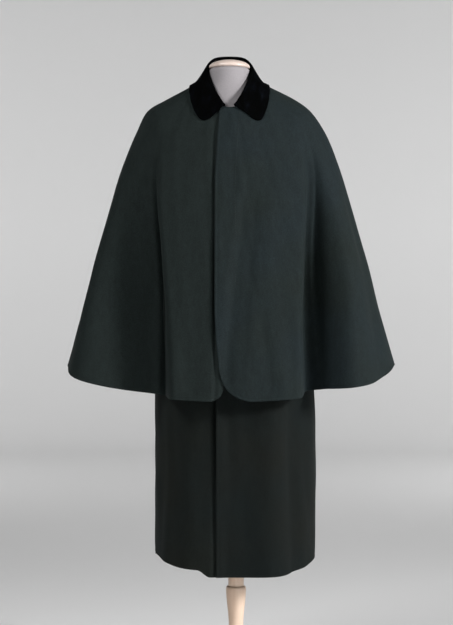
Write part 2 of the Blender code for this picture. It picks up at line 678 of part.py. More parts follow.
def add_torso(rows, columns):
    """The smooth torso, closed at the neck and underneath."""
    grid = []
    for down in steps(0.0, FORM.length, rows):
        grid.append([FORM.point(360.0 * index / columns, down) for index in range(columns)])
    mesh = sheet_mesh("form_torso", grid, closed=True)
    work = bmesh.new()
    work.from_mesh(mesh)
    bmesh.ops.holes_fill(work, edges=work.edges[:], sides=0)
    bmesh.ops.recalc_face_normals(work, faces=work.faces[:])
    bmesh.ops.triangulate(work, faces=work.faces[:])
    work.to_mesh(mesh)
    work.free()
    torso = add_object("form_torso", mesh, FORM_CLOTH)
    torso.data.shade_smooth()
    return torso


def add_neck_cap(sides):
    """The shallow wooden dome on the neck."""
    radius = 0.5 * CAP_DIAMETER
    foot = NECK_TOP_Z + SEAM_GAP
    profile = [(0.0, foot + CAP_RISE)]
    dome = 7
    for step in range(1, dome + 1):
        turn = math.radians(84.0 * step / dome)
        profile.append((radius * math.sin(turn) ** 1.05, foot + 0.004 + (CAP_RISE - 0.004) * math.cos(turn)))
    profile += [(radius, foot + 0.0042), (radius - 0.0008, foot), (0.0, foot)]
    cap = add_turned("neck_cap", profile, CAP_WOOD, sides)
    cap.location = (NECK_X, 0.0, 0.0)
    return cap


def add_stand(sides):
    """The shaft in the torso, the turned column under it and the round base."""
    shaft_top = FORM_RINGS[-1].z_side - SEAM_GAP
    radius = 0.5 * SHAFT_DIAMETER
    shaft = [(0.0, shaft_top), (radius, shaft_top), (radius, COLUMN_TOP_Z + SEAM_GAP)]
    shaft += [(0.0, COLUMN_TOP_Z + SEAM_GAP)]
    add_turned("stand_shaft", shaft, POLE_WOOD, sides)
    top, waist = 0.5 * COLUMN_TOP_DIAMETER, 0.5 * COLUMN_WAIST_DIAMETER
    foot = BASE_THICKNESS + SEAM_GAP
    column = [
        (0.0, COLUMN_TOP_Z),
        (top - 0.0045, COLUMN_TOP_Z),
        (top - 0.0012, COLUMN_TOP_Z - 0.0022),
        (top, COLUMN_TOP_Z - 0.0070),
        (top - 0.0002, COLUMN_TOP_Z - 0.0180),
        (top - 0.0020, COLUMN_TOP_Z - 0.0400),
        (waist + 0.0012, COLUMN_TOP_Z - 0.0750),
        (waist, COLUMN_TOP_Z - 0.1050),
        (waist + 0.0012, 0.120),
        (waist + 0.0050, 0.080),
        (waist + 0.0120, 0.052),
        (waist + 0.0150, 0.040),
        (waist + 0.0150, foot),
        (0.0, foot),
    ]
    add_turned("stand_column", column, POLE_WOOD, sides)
    rim = 0.5 * BASE_DIAMETER
    base = [
        (0.0, BASE_THICKNESS),
        (rim - 0.016, BASE_THICKNESS),
        (rim - 0.006, BASE_THICKNESS - 0.0025),
        (rim, BASE_THICKNESS - 0.0095),
        (rim, 0.003),
        (rim - 0.003, 0.0),
        (0.0, 0.0),
    ]
    add_turned("stand_base", base, POLE_WOOD, 2 * sides)


# ---------------------------------------------------------------- build

for old in list(bpy.data.objects):
    bpy.data.objects.remove(old, do_unlink=True)

CLOAK = bpy.data.collections.new("evening_cloak")
bpy.context.scene.collection.children.link(CLOAK)


def build():
    """All the pieces, from the form outward."""
    add_torso(22, 32)
    add_neck_cap(32)
    add_stand(24)
    add_wall("coat_front_left", coat_front(1, 22, 15), COAT_WALL, WOOL)
    add_wall("coat_front_right", coat_front(-1, 22, 14), COAT_WALL, WOOL)
    add_wall("coat_back", coat_back(22, 22), COAT_WALL, WOOL)
    add_wall("cape_left", cape_half(1, 20, 34), CAPE_WALL, WOOL)
    add_wall("cape_right", cape_half(-1, 20, 34), CAPE_WALL, WOOL)
    panels = [outer_tree(cape_half(side, 20, 34, CAPE_WALL)) for side in (1, -1)]
    add_wall("collar", collar_rows(12, 44, panels), COLLAR_WALL, VELVET, offset=0.0)


build()
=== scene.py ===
"""The evening cloak on its dress form, dressed: fine cloth, sewing, wood, light and camera.

The cloth pieces are thin shells on the forms of the part's own sections, in metres, with
the finer creases added. Angles are in degrees: 0 is the front and +90 the wearer's
left, at +X.
"""

import math
from collections import namedtuple

import bpy
import numpy as np
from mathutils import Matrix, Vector
from mathutils.bvhtree import BVHTree


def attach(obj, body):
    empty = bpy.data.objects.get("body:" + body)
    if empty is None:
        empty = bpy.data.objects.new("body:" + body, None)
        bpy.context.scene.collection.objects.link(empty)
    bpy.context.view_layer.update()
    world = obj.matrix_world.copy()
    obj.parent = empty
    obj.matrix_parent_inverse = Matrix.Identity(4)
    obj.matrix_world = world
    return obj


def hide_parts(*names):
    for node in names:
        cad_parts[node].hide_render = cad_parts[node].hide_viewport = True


# ---- sizes: the part's own, and what its folds and laps need here

COAT_WALL = 0.0020          # heavy milled wool
CAPE_WALL = 0.0022
COLLAR_WALL = 0.0024        # velvet over canvas
SEAM_GAP = 0.0003           # between pieces that are sewn or that rest on each other

NECK_X = -0.0163            # the form leans 16 mm to the wearer's right at the neck

LEFT_EDGE_X = -0.0500       # front edge of the wearer's left fronts, which lap on top
COAT_RIGHT_EDGE_X = -0.0050
COAT_LAP_LIFT = 0.0030      # the left front's inner face over the right one's inner face
CAPE_LAP_LIFT = 0.0034
LAP_FLAT = 0.055            # width over which a lapping front stays out
LAP_EASE = 0.070            # and over which it then sinks back to the panel

CAPE_NECK_EDGE_X = -0.0412  # the cape's left front edge at the neck
CAPE_LEFT_CORNER = 0.085    # rounded lower corner of the wearer's left cape front
CAPE_RIGHT_CORNER = 0.034
CAPE_WING_RISES = {1: 0.0085, -1: 0.0015}   # of the wings' hem beyond the front folds
WING_RISE_FROM = 42.0       # degrees from the front at which that rise starts
WING_RISE_OVER = 10.0
WING_FALL_FROM = 58.0
WING_FALL_OVER = 24.0
CAPE_HEM_SHARE = 0.25       # the lowest share of the cape and of the coat, which a hem's
COAT_HEM_SHARE = 0.20       # rise takes up
COAT_FRONT_WIDTH = 0.30     # mean widths, by which a grid's columns are spaced
CAPE_HALF_WIDTH = 0.90
COAT_GIRTH_RADIUS = 0.2     # mean radii, by which the cloth's waves run round
CAPE_GIRTH_RADIUS = 0.3
CAPE_LEFT_EDGE_MID_X = -0.0520
CAPE_LEFT_EDGE_HEM_X = -0.0440
CAPE_EDGE_OUT_BY = 0.30     # shares down the cape: the left edge is at its middle place by
CAPE_EDGE_IN_FROM = 0.70    # here, starts back from here
CAPE_EDGE_IN_OVER = 0.25    # and is back over this
CAPE_RIGHT_EDGE_TOP_X = -0.0120
CAPE_RIGHT_EDGE_HEM_X = -0.0320

ARMHOLE_TOP = 0.135         # metres down the coat from its neckline
ARMHOLE_BOTTOM = 0.350
ARMHOLE_HALF_ANGLE = 27.0   # degrees of the coat's section, each side of the middle

HEM_STEP_RISE = 0.0145       # the right front's hem rises beside its lower front edge
HEM_STEP_FROM_X = -0.064
HEM_STEP_TO_X = -0.096


def table(kind, rows):
    """The rows of a table, each with the names of its columns."""
    return [kind(*row) for row in rows]


# The flat pieces: the largest width and length along the cloth, and the area in square metres.
Cut = namedtuple("Cut", "width length area")

# One row is one closed section: its height at the front, sides and back, its middle, its
# half-widths to the wearer's right (-X) and left (+X), its depths to the front and back,
# how square it is (2 is an ellipse), and how much of its rise sits at the very sides.
Ring = namedtuple(
    "Ring",
    "name z_front z_side z_back mid_x mid_y right left front back square tip",
    defaults=(2.0, 0.0),
)

FORM_RINGS = table(Ring, [
    ("neck top", 1.563, 1.563, 1.563, -0.0163, 0.0, 0.05, 0.05, 0.051, 0.05),
    ("neck", 1.53, 1.538, 1.542, -0.0163, 0.0, 0.05, 0.05, 0.054, 0.0505),
    ("neck base", 1.49, 1.517, 1.525, -0.016, 0.0, 0.064, 0.064, 0.069, 0.06),
    ("collar bone", 1.445, 1.5045, 1.502, -0.015, 0.0, 0.101, 0.101, 0.09, 0.084),
    ("mid shoulder", 1.395, 1.4774, 1.472, -0.0145, 0.0, 0.156, 0.156, 0.108, 0.106),
    ("shoulder point", 1.34, 1.448, 1.433, -0.0145, 0.0, 0.193, 0.19, 0.115, 0.118, 2.1),
    ("shoulder end", 1.29, 1.407, 1.386, -0.014, 0.0, 0.196, 0.196, 0.119, 0.124, 2.1),
    ("shoulder under", 1.25, 1.35, 1.335, -0.014, 0.0, 0.182, 0.182, 0.119, 0.124, 2.1),
    ("chest", 1.19, 1.26, 1.26, -0.013, 0.002, 0.166, 0.166, 0.115, 0.118, 2.1),
    ("waist", 1.05, 1.07, 1.07, -0.01, 0.005, 0.145, 0.145, 0.102, 0.092, 2.1),
    ("hip", 0.91, 0.92, 0.92, -0.006, 0.008, 0.166, 0.166, 0.112, 0.12, 2.1),
    ("seat", 0.85, 0.85, 0.85, -0.004, 0.008, 0.169, 0.169, 0.11, 0.124, 2.1),
    ("underside", 0.815, 0.815, 0.815, -0.003, 0.006, 0.148, 0.148, 0.095, 0.104, 2.1),
])

COAT_RINGS = table(Ring, [
    ("neckline", 1.448, 1.529, 1.554, -0.0163, 0.0, 0.066, 0.066, 0.099, 0.062),
    ("collar bone", 1.425, 1.5085, 1.519, -0.015, 0.0, 0.101, 0.101, 0.1085, 0.086),
    ("mid shoulder", 1.39, 1.479, 1.476, -0.0145, 0.0, 0.1565, 0.1565, 0.122, 0.108),
    ("shoulder point", 1.34, 1.452, 1.437, -0.0145, 0.0, 0.196, 0.193, 0.134, 0.122, 2.1),
    ("shoulder end", 1.29, 1.41, 1.39, -0.014, 0.0, 0.204, 0.204, 0.142, 0.13, 2.1),
    ("armhole", 1.24, 1.33, 1.32, -0.013, 0.004, 0.195, 0.195, 0.15, 0.136, 2.1),
    ("chest", 1.17, 1.21, 1.21, -0.012, 0.01, 0.19, 0.19, 0.16, 0.13, 2.1),
    ("waist", 1.04, 1.04, 1.04, -0.01, 0.02, 0.188, 0.188, 0.173, 0.125, 2.1),
    ("hip", 0.88, 0.88, 0.88, -0.006, 0.033, 0.195, 0.195, 0.19, 0.135, 2.1),
    ("thigh", 0.72, 0.72, 0.72, -0.0022, 0.042, 0.1995, 0.1995, 0.202, 0.148, 2.1),
    ("knee", 0.54, 0.542, 0.542, -0.0012, 0.048, 0.2005, 0.2005, 0.211, 0.158, 2.1),
    ("hem", 0.317, 0.343, 0.324, -0.0026, 0.052, 0.199, 0.199, 0.219, 0.166, 2.6, 0.6),
])

CAPE_RINGS = table(Ring, [
    ("neckline", 1.451, 1.5268, 1.5505, -0.0163, 0.0, 0.077, 0.0757, 0.108, 0.07),
    ("collar bone", 1.425, 1.5115, 1.521, -0.015, 0.0, 0.1045, 0.103, 0.119, 0.089),
    ("mid shoulder", 1.39, 1.482, 1.479, -0.0145, 0.0, 0.16, 0.1605, 0.132, 0.112),
    ("shoulder point", 1.34, 1.456, 1.44, -0.0145, 0.0, 0.2025, 0.1965, 0.144, 0.127, 2.1),
    ("shoulder end", 1.285, 1.406, 1.39, -0.0145, 0.0, 0.2295, 0.232, 0.155, 0.139, 2.1),
    ("upper arm", 1.22, 1.324, 1.31, -0.0145, 0.0, 0.265, 0.268, 0.166, 0.153, 2.1),
    ("chest", 1.125, 1.21, 1.2, -0.0145, 0.0, 0.2995, 0.302, 0.177, 0.168, 2.05),
    ("elbow", 1.0, 1.07, 1.05, -0.0145, 0.0, 0.339, 0.343, 0.187, 0.184, 2.0, 0.2),
    ("forearm", 0.87, 0.94, 0.895, -0.0145, 0.0, 0.374, 0.378, 0.195, 0.199, 2.0, 0.4),
    ("hem", 0.741, 0.823, 0.756, -0.0145, 0.0, 0.407, 0.411, 0.202, 0.214, 2.0, 0.45),
])

# One row is one fold of the cloth: the angle of its middle at its top and at the hem (0 is
# the front, +90 the wearer's left), how far down it starts and is at its full depth in
# metres from the neckline, its depth inward, and its width to each side at the hem.
Fold = namedtuple("Fold", "name angle_top angle_hem start full depth below_angle above_angle")

CAPE_FOLDS = table(Fold, [
    ("right front valley", -60.0, -46.0, 0.16, 0.62, 0.096, 0.18, 0.046),
    ("left front valley", 63.0, 51.0, 0.12, 0.6, 0.094, 0.046, 0.075),
    ("right wing ridge", -79.0, -77.0, 0.2, 0.65, -0.018, 0.06, 0.05),
    ("left wing ridge", 76.0, 68.0, 0.2, 0.65, -0.018, 0.06, 0.06),
    ("left front trough", 26.0, 9.0, 0.16, 0.56, 0.012, 0.03, 0.06),
    ("left back valley", 112.0, 124.0, 0.15, 0.56, 0.034, 0.09, 0.045),
    ("right back valley", -114.0, -127.0, 0.15, 0.56, 0.036, 0.045, 0.09),
    ("middle back trough", 176.0, 172.0, 0.22, 0.6, 0.014, 0.06, 0.07),
])

CAPE_TRACKS = {
    1: ("left front valley", "left back valley"),
    -1: ("right front valley", "right back valley"),
}
CAPE_TRACK_SHARES = (0.36, 0.70)    # where those folds lie across a half of the cape

COAT_FOLDS = table(Fold, [
    ("left front ridge", 29.0, 25.0, 0.4, 0.9, -0.009, 0.065, 0.055),
    ("left side valley", 43.0, 41.0, 0.4, 0.9, 0.009, 0.05, 0.08),
    ("right front ridge", -36.0, -33.0, 0.4, 0.9, -0.008, 0.05, 0.06),
    ("left back valley", 138.0, 143.0, 0.4, 1.0, 0.016, 0.07, 0.05),
    ("right back valley", -137.0, -144.0, 0.4, 1.0, 0.018, 0.05, 0.07),
])

# One row is one section across half of the collar, from the middle of the back to the end
# of its front: the angle at which its stand is sewn to the coat's neckline, the top of the
# roll, and the fall's outer edge, whose lobes differ a little to the wearer's right and
# left. Across is measured from the middle of the neck. Its sides are up to 6.5 mm
# narrower and its lobes up to 5 mm lower here than on the solid, as the photo has them.
CollarSection = namedtuple(
    "CollarSection",
    "name seam_angle roll_across roll_y roll_z edge_y right_across right_z left_across left_z",
)

COLLAR_SECTIONS = table(CollarSection, [
    ("back", 180.0, 0.0, 0.069, 1.6024, 0.106, 0.0, 1.512, 0.0, 1.512),
    ("back quarter", 148.0, 0.0318, 0.059, 1.5984, 0.088, 0.059, 1.51, 0.059, 1.51),
    ("side back", 118.0, 0.0488, 0.033, 1.5842, 0.044, 0.0875, 1.5125, 0.087, 1.5125),
    ("side", 90.0, 0.0572, -0.001, 1.564, -0.006, 0.0945, 1.512, 0.094, 1.512),
    ("side front", 62.0, 0.0525, -0.033, 1.539, -0.04, 0.0935, 1.489, 0.093, 1.487),
    ("throat", 42.0, 0.043, -0.064, 1.5135, -0.07, 0.0895, 1.46, 0.091, 1.459),
    ("lobe top", 28.0, 0.0335, -0.088, 1.492, -0.093, 0.0805, 1.434, 0.084, 1.435),
    ("lobe", 20.0, 0.025, -0.102, 1.4755, -0.108, 0.0665, 1.418, 0.0735, 1.4165),
    ("lobe front", 14.5, 0.019, -0.108, 1.466, -0.115, 0.0485, 1.4215, 0.056, 1.422),
    ("corner", 10.5, 0.0155, -0.1124, 1.463, -0.117, 0.0345, 1.437, 0.037, 1.44),
    ("front end", 8.0, 0.0125, -0.1146, 1.459, -0.1165, 0.0235, 1.4475, 0.019, 1.452),
])

COLLAR_ROLL = 0.0038
COLLAR_OVER = 0.004
COLLAR_OVER_LIFT = 0.0048
COLLAR_AIR = 0.0013
COLLAR_SEAM_RISE = 0.0023
COLLAR_FALL_SHARE = 0.50
COLLAR_DROP_SHARE = 0.45    # the most that the roll's faces drop, as a share of the stand
COLLAR_OVER_SHARE = 0.35    # where the fall's path is set between the roll and its edge
COLLAR_SIDE_ANGLE = 45.0    # degrees beyond which the fall lies over the cape's neckline
PUSH_PASSES = 8             # in which the push that clears the cape spreads
GUIDE_LEVELS = (0.0, 0.1, 0.2, 0.3, 0.5, 0.7, 1.0)  # rows of a coarse cape, whose normals
GUIDE_SHARE = 0.25          # the push follows, down to this share of the cape
GUIDE_TURN = 10.0
SEARCH_ABOVE = 0.007
SEARCH_REACH = 0.030

NECK_TOP_Z = 1.5630
CAP_DIAMETER = 0.102
CAP_RISE = 0.0215
CAP_EDGE = 0.004            # the height of its straight edge
CAP_FULLNESS = 1.05
SHAFT_DIAMETER = 0.039
SHAFT_TOP_Z = 0.8147
COLUMN_TOP_DIAMETER = 0.050
COLUMN_WAIST_DIAMETER = 0.036
COLUMN_TOP_Z = 0.2715
BASE_DIAMETER = 0.400
BASE_THICKNESS = 0.030

# ---- finer creases

CAPE_CREASES = table(Fold, [
    ("left panel soft ridge", 24.0, 33.0, 0.3, 0.8, -0.003, 0.03, 0.05),
    ("left panel low trough", 33.0, 41.0, 0.42, 0.8, 0.0025, 0.03, 0.026),
    ("left panel inner trough", 17.0, -6.0, 0.14, 0.4, 0.009, 0.03, 0.05),
    ("left panel inner ridge", 28.0, 10.0, 0.16, 0.52, -0.01, 0.032, 0.055),
    ("right valley bottom", -60.0, -46.0, 0.16, 0.42, 0.014, 0.014, 0.012),
    ("left valley bottom", 67.0, 58.0, 0.14, 0.42, 0.012, 0.012, 0.014),
    ("right panel soft trough", -24.0, -26.0, 0.35, 0.75, 0.003, 0.05, 0.04),
    ("right panel low ridge", -33.0, -36.0, 0.4, 0.8, -0.002, 0.03, 0.03),
    ("right wing trough", -92.0, -90.0, 0.35, 0.8, 0.0035, 0.04, 0.05),
    ("left wing trough", 90.0, 87.0, 0.35, 0.8, 0.003, 0.05, 0.04),
    ("right wing front ridge", -63.0, -60.0, 0.33, 0.76, -0.0025, 0.03, 0.04),
    ("left wing front ridge", 64.0, 62.0, 0.3, 0.74, -0.003, 0.03, 0.04),
    ("left back ridge", 148.0, 150.0, 0.26, 0.74, -0.005, 0.06, 0.05),
    ("right back ridge", -150.0, -154.0, 0.28, 0.76, -0.005, 0.05, 0.06),
    ("left rear wing trough", 104.0, 103.0, 0.3, 0.78, 0.003, 0.04, 0.04),
    ("right rear wing trough", -103.0, -104.0, 0.3, 0.78, 0.003, 0.04, 0.04),
])

COAT_CREASES = table(Fold, [
    ("left front trough", 9.0, 10.0, 0.55, 1.05, 0.0025, 0.04, 0.045),
    ("left side crease", 58.0, 60.0, 0.5, 1.0, 0.0035, 0.035, 0.045),
    ("right front trough", -19.0, -20.0, 0.55, 1.05, 0.003, 0.04, 0.04),
    ("right front easing", -36.0, -34.0, 0.4, 0.9, 0.005, 0.06, 0.06),
    ("left front broad trough", -3.0, -4.0, 0.5, 0.9, 0.0125, 0.04, 0.095),
    ("left side valley bottom", 43.5, 41.5, 0.5, 0.95, 0.0035, 0.03, 0.038),
    ("right side crease", -62.0, -60.0, 0.5, 1.0, 0.003, 0.045, 0.035),
    ("left back ridge", 118.0, 120.0, 0.45, 1.0, -0.005, 0.05, 0.05),
    ("right back ridge", -117.0, -120.0, 0.45, 1.0, -0.005, 0.05, 0.05),
    ("back trough", 180.0, 178.0, 0.5, 1.05, 0.006, 0.06, 0.06),
])

# Waves of a cloth that is never quite even: along the cloth, down it, depth, and phase.
Wave = namedtuple("Wave", "around down depth phase")

CLOTH_WAVES = table(Wave, [
    (0.115, 0.42, 0.00045, 0.3),
    (0.071, -0.29, 0.00035, 1.9),
    (0.19, 0.17, 0.0004, 4.1),
    (-0.048, 0.23, 0.00022, 2.6),
])

CALM_EDGE = 0.020           # a finished edge is even for this far in
FOLD_TOP_WIDTH = 0.45       # a fold's width where it starts, as a share of its full width
FRONT_HALF_ANGLE = 60.0     # degrees within which the front edges lie

# How many rows and columns the grids have, apart from their edges' own.
COAT_ROWS = 120
COAT_FRONT_COLUMNS = 84
COAT_BACK_COLUMNS = 120
CAPE_ROWS = 118
CAPE_COLUMNS = 165
COLLAR_ROWS = 24
COLLAR_COLUMNS = 88
COLLAR_FINER = 3            # points of the fine collar for each one that is kept clear

# How far the lapping edges stand off at some distances down them.
Gape = namedtuple("Gape", "down off")

COAT_GAPES = table(Gape, [
    (0.0, 0.0), (0.60, 0.001), (0.74, 0.0065), (0.95, 0.0048), (1.15, 0.0015),
])
CAPE_GAPES = table(Gape, [
    (0.03, 0.0003), (0.12, 0.001), (0.32, 0.0026), (0.58, 0.0048), (0.72, 0.0024),
])
GAPE_WIDTH = 0.040
GROOVE_ASIDE = 0.0005       # the groove's middle beside the lapping edge
GROOVE_WIDTH = 0.0100
GROOVE_SHARE = 2.0          # its depth, as a share of how far the edge stands off

# How far in from a finished edge the shell's points lie, and how thick it is there as a
# share of its wall: a turned edge, pinched in by the topstitching and plain beyond it.
EDGE_STEPS = (0.0, 0.0003, 0.0009, 0.0018, 0.0032, 0.0046, 0.0055, 0.0064, 0.0082, 0.0120)
TOPSTITCH = 0.0055
PINCH_WIDTH = 0.0011
PINCH_DEPTH = 0.42          # shares of the wall
EDGE_SWELL = 1.35
THINNEST = 0.12
SWELL_BY = 0.0025           # metres in from the edge
SWELL_UNTIL = 0.0035
SWELL_FADE = 0.004
FLY_STITCH = 0.0485         # the hidden fly's stitching, in from the left front's edge
FLY_STITCH_FROM = 0.020     # how far down the cape it starts and ends
FLY_STITCH_TO = 0.500
STITCH_LENGTH = 0.0030
STITCH_GAP = 0.0012
STITCH_WIDTH = 0.00042
STITCH_RISE = 0.00032
STITCH_SUNK = 0.00012
STITCH_SIDES = 6
STITCH_SHARES = (0.0, 0.25, 0.75, 1.0)  # where a thread's rings of points lie along it
STITCH_ARC_FROM = 0.12      # the part of a half turn that its rise follows
STITCH_ARC = 0.76
FLY_LIFT = 0.00005          # the stitches above the cape

# ---- surfaces


def smooth(share):
    """An S-curve from 0 to 1."""
    share = np.clip(share, 0.0, 1.0)
    return share * share * (3.0 - 2.0 * share)


def pair(first, second):
    """Two values or arrays, brought to one shape."""
    return np.broadcast_arrays(np.asarray(first, float), np.asarray(second, float))


class Surface:
    """A smooth surface through rings, for whole grids of angles and distances down it."""

    def __init__(self, rings, folds=()):
        self.rings = rings
        self.folds = folds
        knots = [0.0]
        turns = np.arange(0.0, 360.0, 45.0)
        points = self.ring_points(turns)
        for upper, lower in zip(points, points[1:]):
            knots.append(knots[-1] + float(np.linalg.norm(lower - upper, axis=-1).mean()))
        self.knots = np.array(knots)
        self.length = knots[-1]

    def ring_points(self, angle):
        """The points of every ring at some angles, ring by ring."""
        across = np.sin(np.radians(angle))
        ahead = np.cos(np.radians(angle))
        made = []
        for ring in self.rings:
            half = np.where(across >= 0.0, ring.left, ring.right)
            depth = np.where(ahead >= 0.0, ring.front, ring.back)
            reach = (np.abs(across) / half) ** ring.square + (np.abs(ahead) / depth) ** ring.square
            radius = reach ** (-1.0 / ring.square)
            share = np.abs(radius * across) / half
            rise = (1.0 - ring.tip) * share ** 2 + ring.tip * share ** 8
            z_end = np.where(ahead >= 0.0, ring.z_front, ring.z_back)
            made.append(np.stack([
                ring.mid_x + radius * across,
                ring.mid_y - radius * ahead,
                z_end + (ring.z_side - z_end) * rise,
            ], axis=-1))
        return np.array(made)

    def plain(self, angle, down):
        """The surface before its folds, a cubic through the rings."""
        angle, down = pair(angle, down)
        down = np.clip(down, 0.0, self.length)
        points = self.ring_points(angle)
        knots = self.knots
        gaps = np.diff(knots)
        lines = (points[1:] - points[:-1]) / gaps.reshape(-1, *[1] * angle.ndim, 1)
        slopes = [lines[0]]
        for index in range(1, len(gaps)):
            above, below = gaps[index - 1], gaps[index]
            slopes.append((lines[index - 1] * below + lines[index] * above) / (above + below))
        slopes.append(lines[-1])
        slopes = np.array(slopes)
        span = np.clip(np.searchsorted(knots, down, side="left") - 1, 0, len(gaps) - 1)
        width = gaps[span][..., None]
        share = ((down - knots[span]) / gaps[span])[..., None]
        index = span[None, ..., None]
        near = np.take_along_axis(points, index, axis=0)[0]
        far = np.take_along_axis(points, index + 1, axis=0)[0]
        leave = np.take_along_axis(slopes, index, axis=0)[0] * width
        arrive = np.take_along_axis(slopes, index + 1, axis=0)[0] * width
        square, cube = share ** 2, share ** 3
        return (
            near * (2 * cube - 3 * square + 1)
            + leave * (cube - 2 * square + share)
            + far * (3 * square - 2 * cube)
            + arrive * (cube - square)
        )

    def fold_angle(self, fold, down):
        """The angle of a fold's middle at some heights."""
        along = np.clip((down - fold.start) / (self.length - fold.start), 0.0, 1.0)
        return fold.angle_top + (fold.angle_hem - fold.angle_top) * along

    def fold_depth(self, angle, down):
        """How far the folds and the cloth's own waves take it inward."""
        here = self.plain(angle, down)
        radius = np.hypot(here[..., 0] - self.rings[-1].mid_x, here[..., 1])
        depth = np.zeros(radius.shape)
        for fold in self.folds:
            grown = smooth((down - fold.start) / (fold.full - fold.start))
            turn = (angle - self.fold_angle(fold, down) + 180.0) % 360.0 - 180.0
            away = np.radians(turn) * radius
            width = np.where(away > 0.0, fold.above_angle, fold.below_angle)
            width = width * (FOLD_TOP_WIDTH + (1.0 - FOLD_TOP_WIDTH) * grown)
            share = np.minimum(np.abs(away) / width, 1.0)
            depth += fold.depth * grown * 0.5 * (1.0 + np.cos(np.pi * share))
        return depth

    def folded(self, angle, down):
        """The surface with its folds, which push it in along the section's normal."""
        angle, down = pair(angle, down)
        around = self.plain(angle + 1.0, down) - self.plain(angle - 1.0, down)
        outward = np.stack([around[..., 1], -around[..., 0], np.zeros(angle.shape)], axis=-1)
        outward /= np.linalg.norm(outward, axis=-1, keepdims=True)
        return self.plain(angle, down) - outward * self.fold_depth(angle, down)[..., None]

    def normal(self, angle, down):
        """The outward normal of the folded surface."""
        step = 0.004
        below = self.folded(angle, np.minimum(down + step, self.length))
        above = self.folded(angle, np.maximum(down - step, 0.0))
        around = self.folded(angle + 1.0, down) - self.folded(angle - 1.0, down)
        across = np.cross(around, above - below)
        return across / np.linalg.norm(across, axis=-1, keepdims=True)

    def point(self, angle, down, lift=0.0):
        """Points of the surface moved out along its normal."""
        angle, down = pair(angle, down)
        lift = np.broadcast_to(np.asarray(lift, float), angle.shape)
        return self.folded(angle, down) + self.normal(angle, down) * lift[..., None]

    def angle_at(self, across, down):
        """The angles near the centre front at which the surface is at x = across."""
        across, down = pair(across, down)
        low = np.full(down.shape, -FRONT_HALF_ANGLE)
        high = np.full(down.shape, FRONT_HALF_ANGLE)
        for _ in range(26):
            middle = 0.5 * (low + high)
            short = self.plain(middle, down)[..., 0] < across
            low = np.where(short, middle, low)
            high = np.where(short, high, middle)
        return 0.5 * (low + high)


def steps(first, last, count, focus=(), spread=10.0, weight=2.5):
    """Values from first to last, closer together round those in focus."""
    fine = np.linspace(first, last, 2001)
    middle = 0.5 * (fine[1:] + fine[:-1])
    pull = np.ones(len(middle))
    for place in focus:
        pull += weight * np.exp(-(((middle - place) / spread) ** 2))
    total = np.concatenate([[0.0], np.cumsum(pull)])
    return np.interp(np.linspace(0.0, total[-1], count + 1), total, fine)


def with_edge(values, length, at_start, at_end):
    """Shares of a length, with the close steps of a finished edge at its ends."""
    close = np.array(EDGE_STEPS) / length
    margin = close[-1] * 1.25
    kept = values[(values > margin * at_start) & (values < 1.0 - margin * at_end)]
    start = close if at_start else np.array([0.0])
    end = 1.0 - close[::-1] if at_end else np.array([1.0])
    inner = kept[(kept > start[-1]) & (kept < end[0])]
    return np.concatenate([start, inner, end])


COAT = Surface(COAT_RINGS, COAT_FOLDS + COAT_CREASES)
CAPE = Surface(CAPE_RINGS, CAPE_FOLDS + CAPE_CREASES)
FORM = Surface(FORM_RINGS)

# ---- meshes

CLOTH_SHARP_ANGLE = math.radians(70.0)
SHARP_ANGLE = math.radians(50.0)
MERGE_WITHIN = 0.00002


def in_scene(name, data):
    """An object with its data, linked to the scene."""
    made = bpy.data.objects.new(name, data)
    bpy.context.scene.collection.objects.link(made)
    return made


def mesh_object(name, points, faces, material):
    """An object of the scene from its points and faces."""
    mesh = bpy.data.meshes.new(name)
    mesh.from_pydata([tuple(point) for point in points], [], faces)
    mesh.materials.append(material)
    mesh.shade_smooth()
    return in_scene(name, mesh)


def grid_faces(rows, columns, closed=False):
    """The faces between a grid's points, joined round where it is closed."""
    faces = []
    for row in range(rows - 1):
        for column in range(columns if closed else columns - 1):
            here, beside = row * columns + column, row * columns + (column + 1) % columns
            faces.append((here, here + columns, beside + columns, beside))
    return faces


def turned_over(face, offset):
    """A face that looks the other way, among points further on in the list."""
    return tuple(corner + offset for corner in (face[0], *face[:0:-1]))


def grid_normals(grid):
    """The outward normals of a grid whose rows run down and columns run round."""
    down = np.gradient(grid, axis=0)
    around = np.gradient(grid, axis=1)
    across = np.cross(down, around)
    return across / np.maximum(np.linalg.norm(across, axis=-1, keepdims=True), 1e-12)


def shell(name, middle, wall, material, edge):
    """A closed shell of cloth about its middle grid, rounded at its finished edges.

    edge is each point's distance in metres from a finished edge.
    """
    rows, columns, _ = middle.shape
    normals = grid_normals(middle)
    half = 0.5 * wall * edge_profile(edge, wall)
    outer = (middle + normals * half[..., None]).reshape(-1, 3)
    inner = (middle - normals * half[..., None]).reshape(-1, 3)
    count = rows * columns
    faces = []
    for face in grid_faces(rows, columns):
        faces += [face, turned_over(face, count)]
    ring = list(range(columns))
    ring += [row * columns + columns - 1 for row in range(1, rows)]
    ring += [(rows - 1) * columns + column for column in range(columns - 2, -1, -1)]
    ring += [row * columns for row in range(rows - 2, 0, -1)]
    for here, there in zip(ring, ring[1:] + ring[:1]):
        faces.append((here, there, there + count, here + count))
    made = mesh_object(name, np.concatenate([outer, inner]), faces, material)
    made.data.set_sharp_from_angle(angle=CLOTH_SHARP_ANGLE)
    values = made.data.attributes.new("edge", "FLOAT", "POINT")
    both = np.concatenate([edge.ravel(), edge.ravel()])
    values.data.foreach_set("value", both.astype(np.float32))
    return made


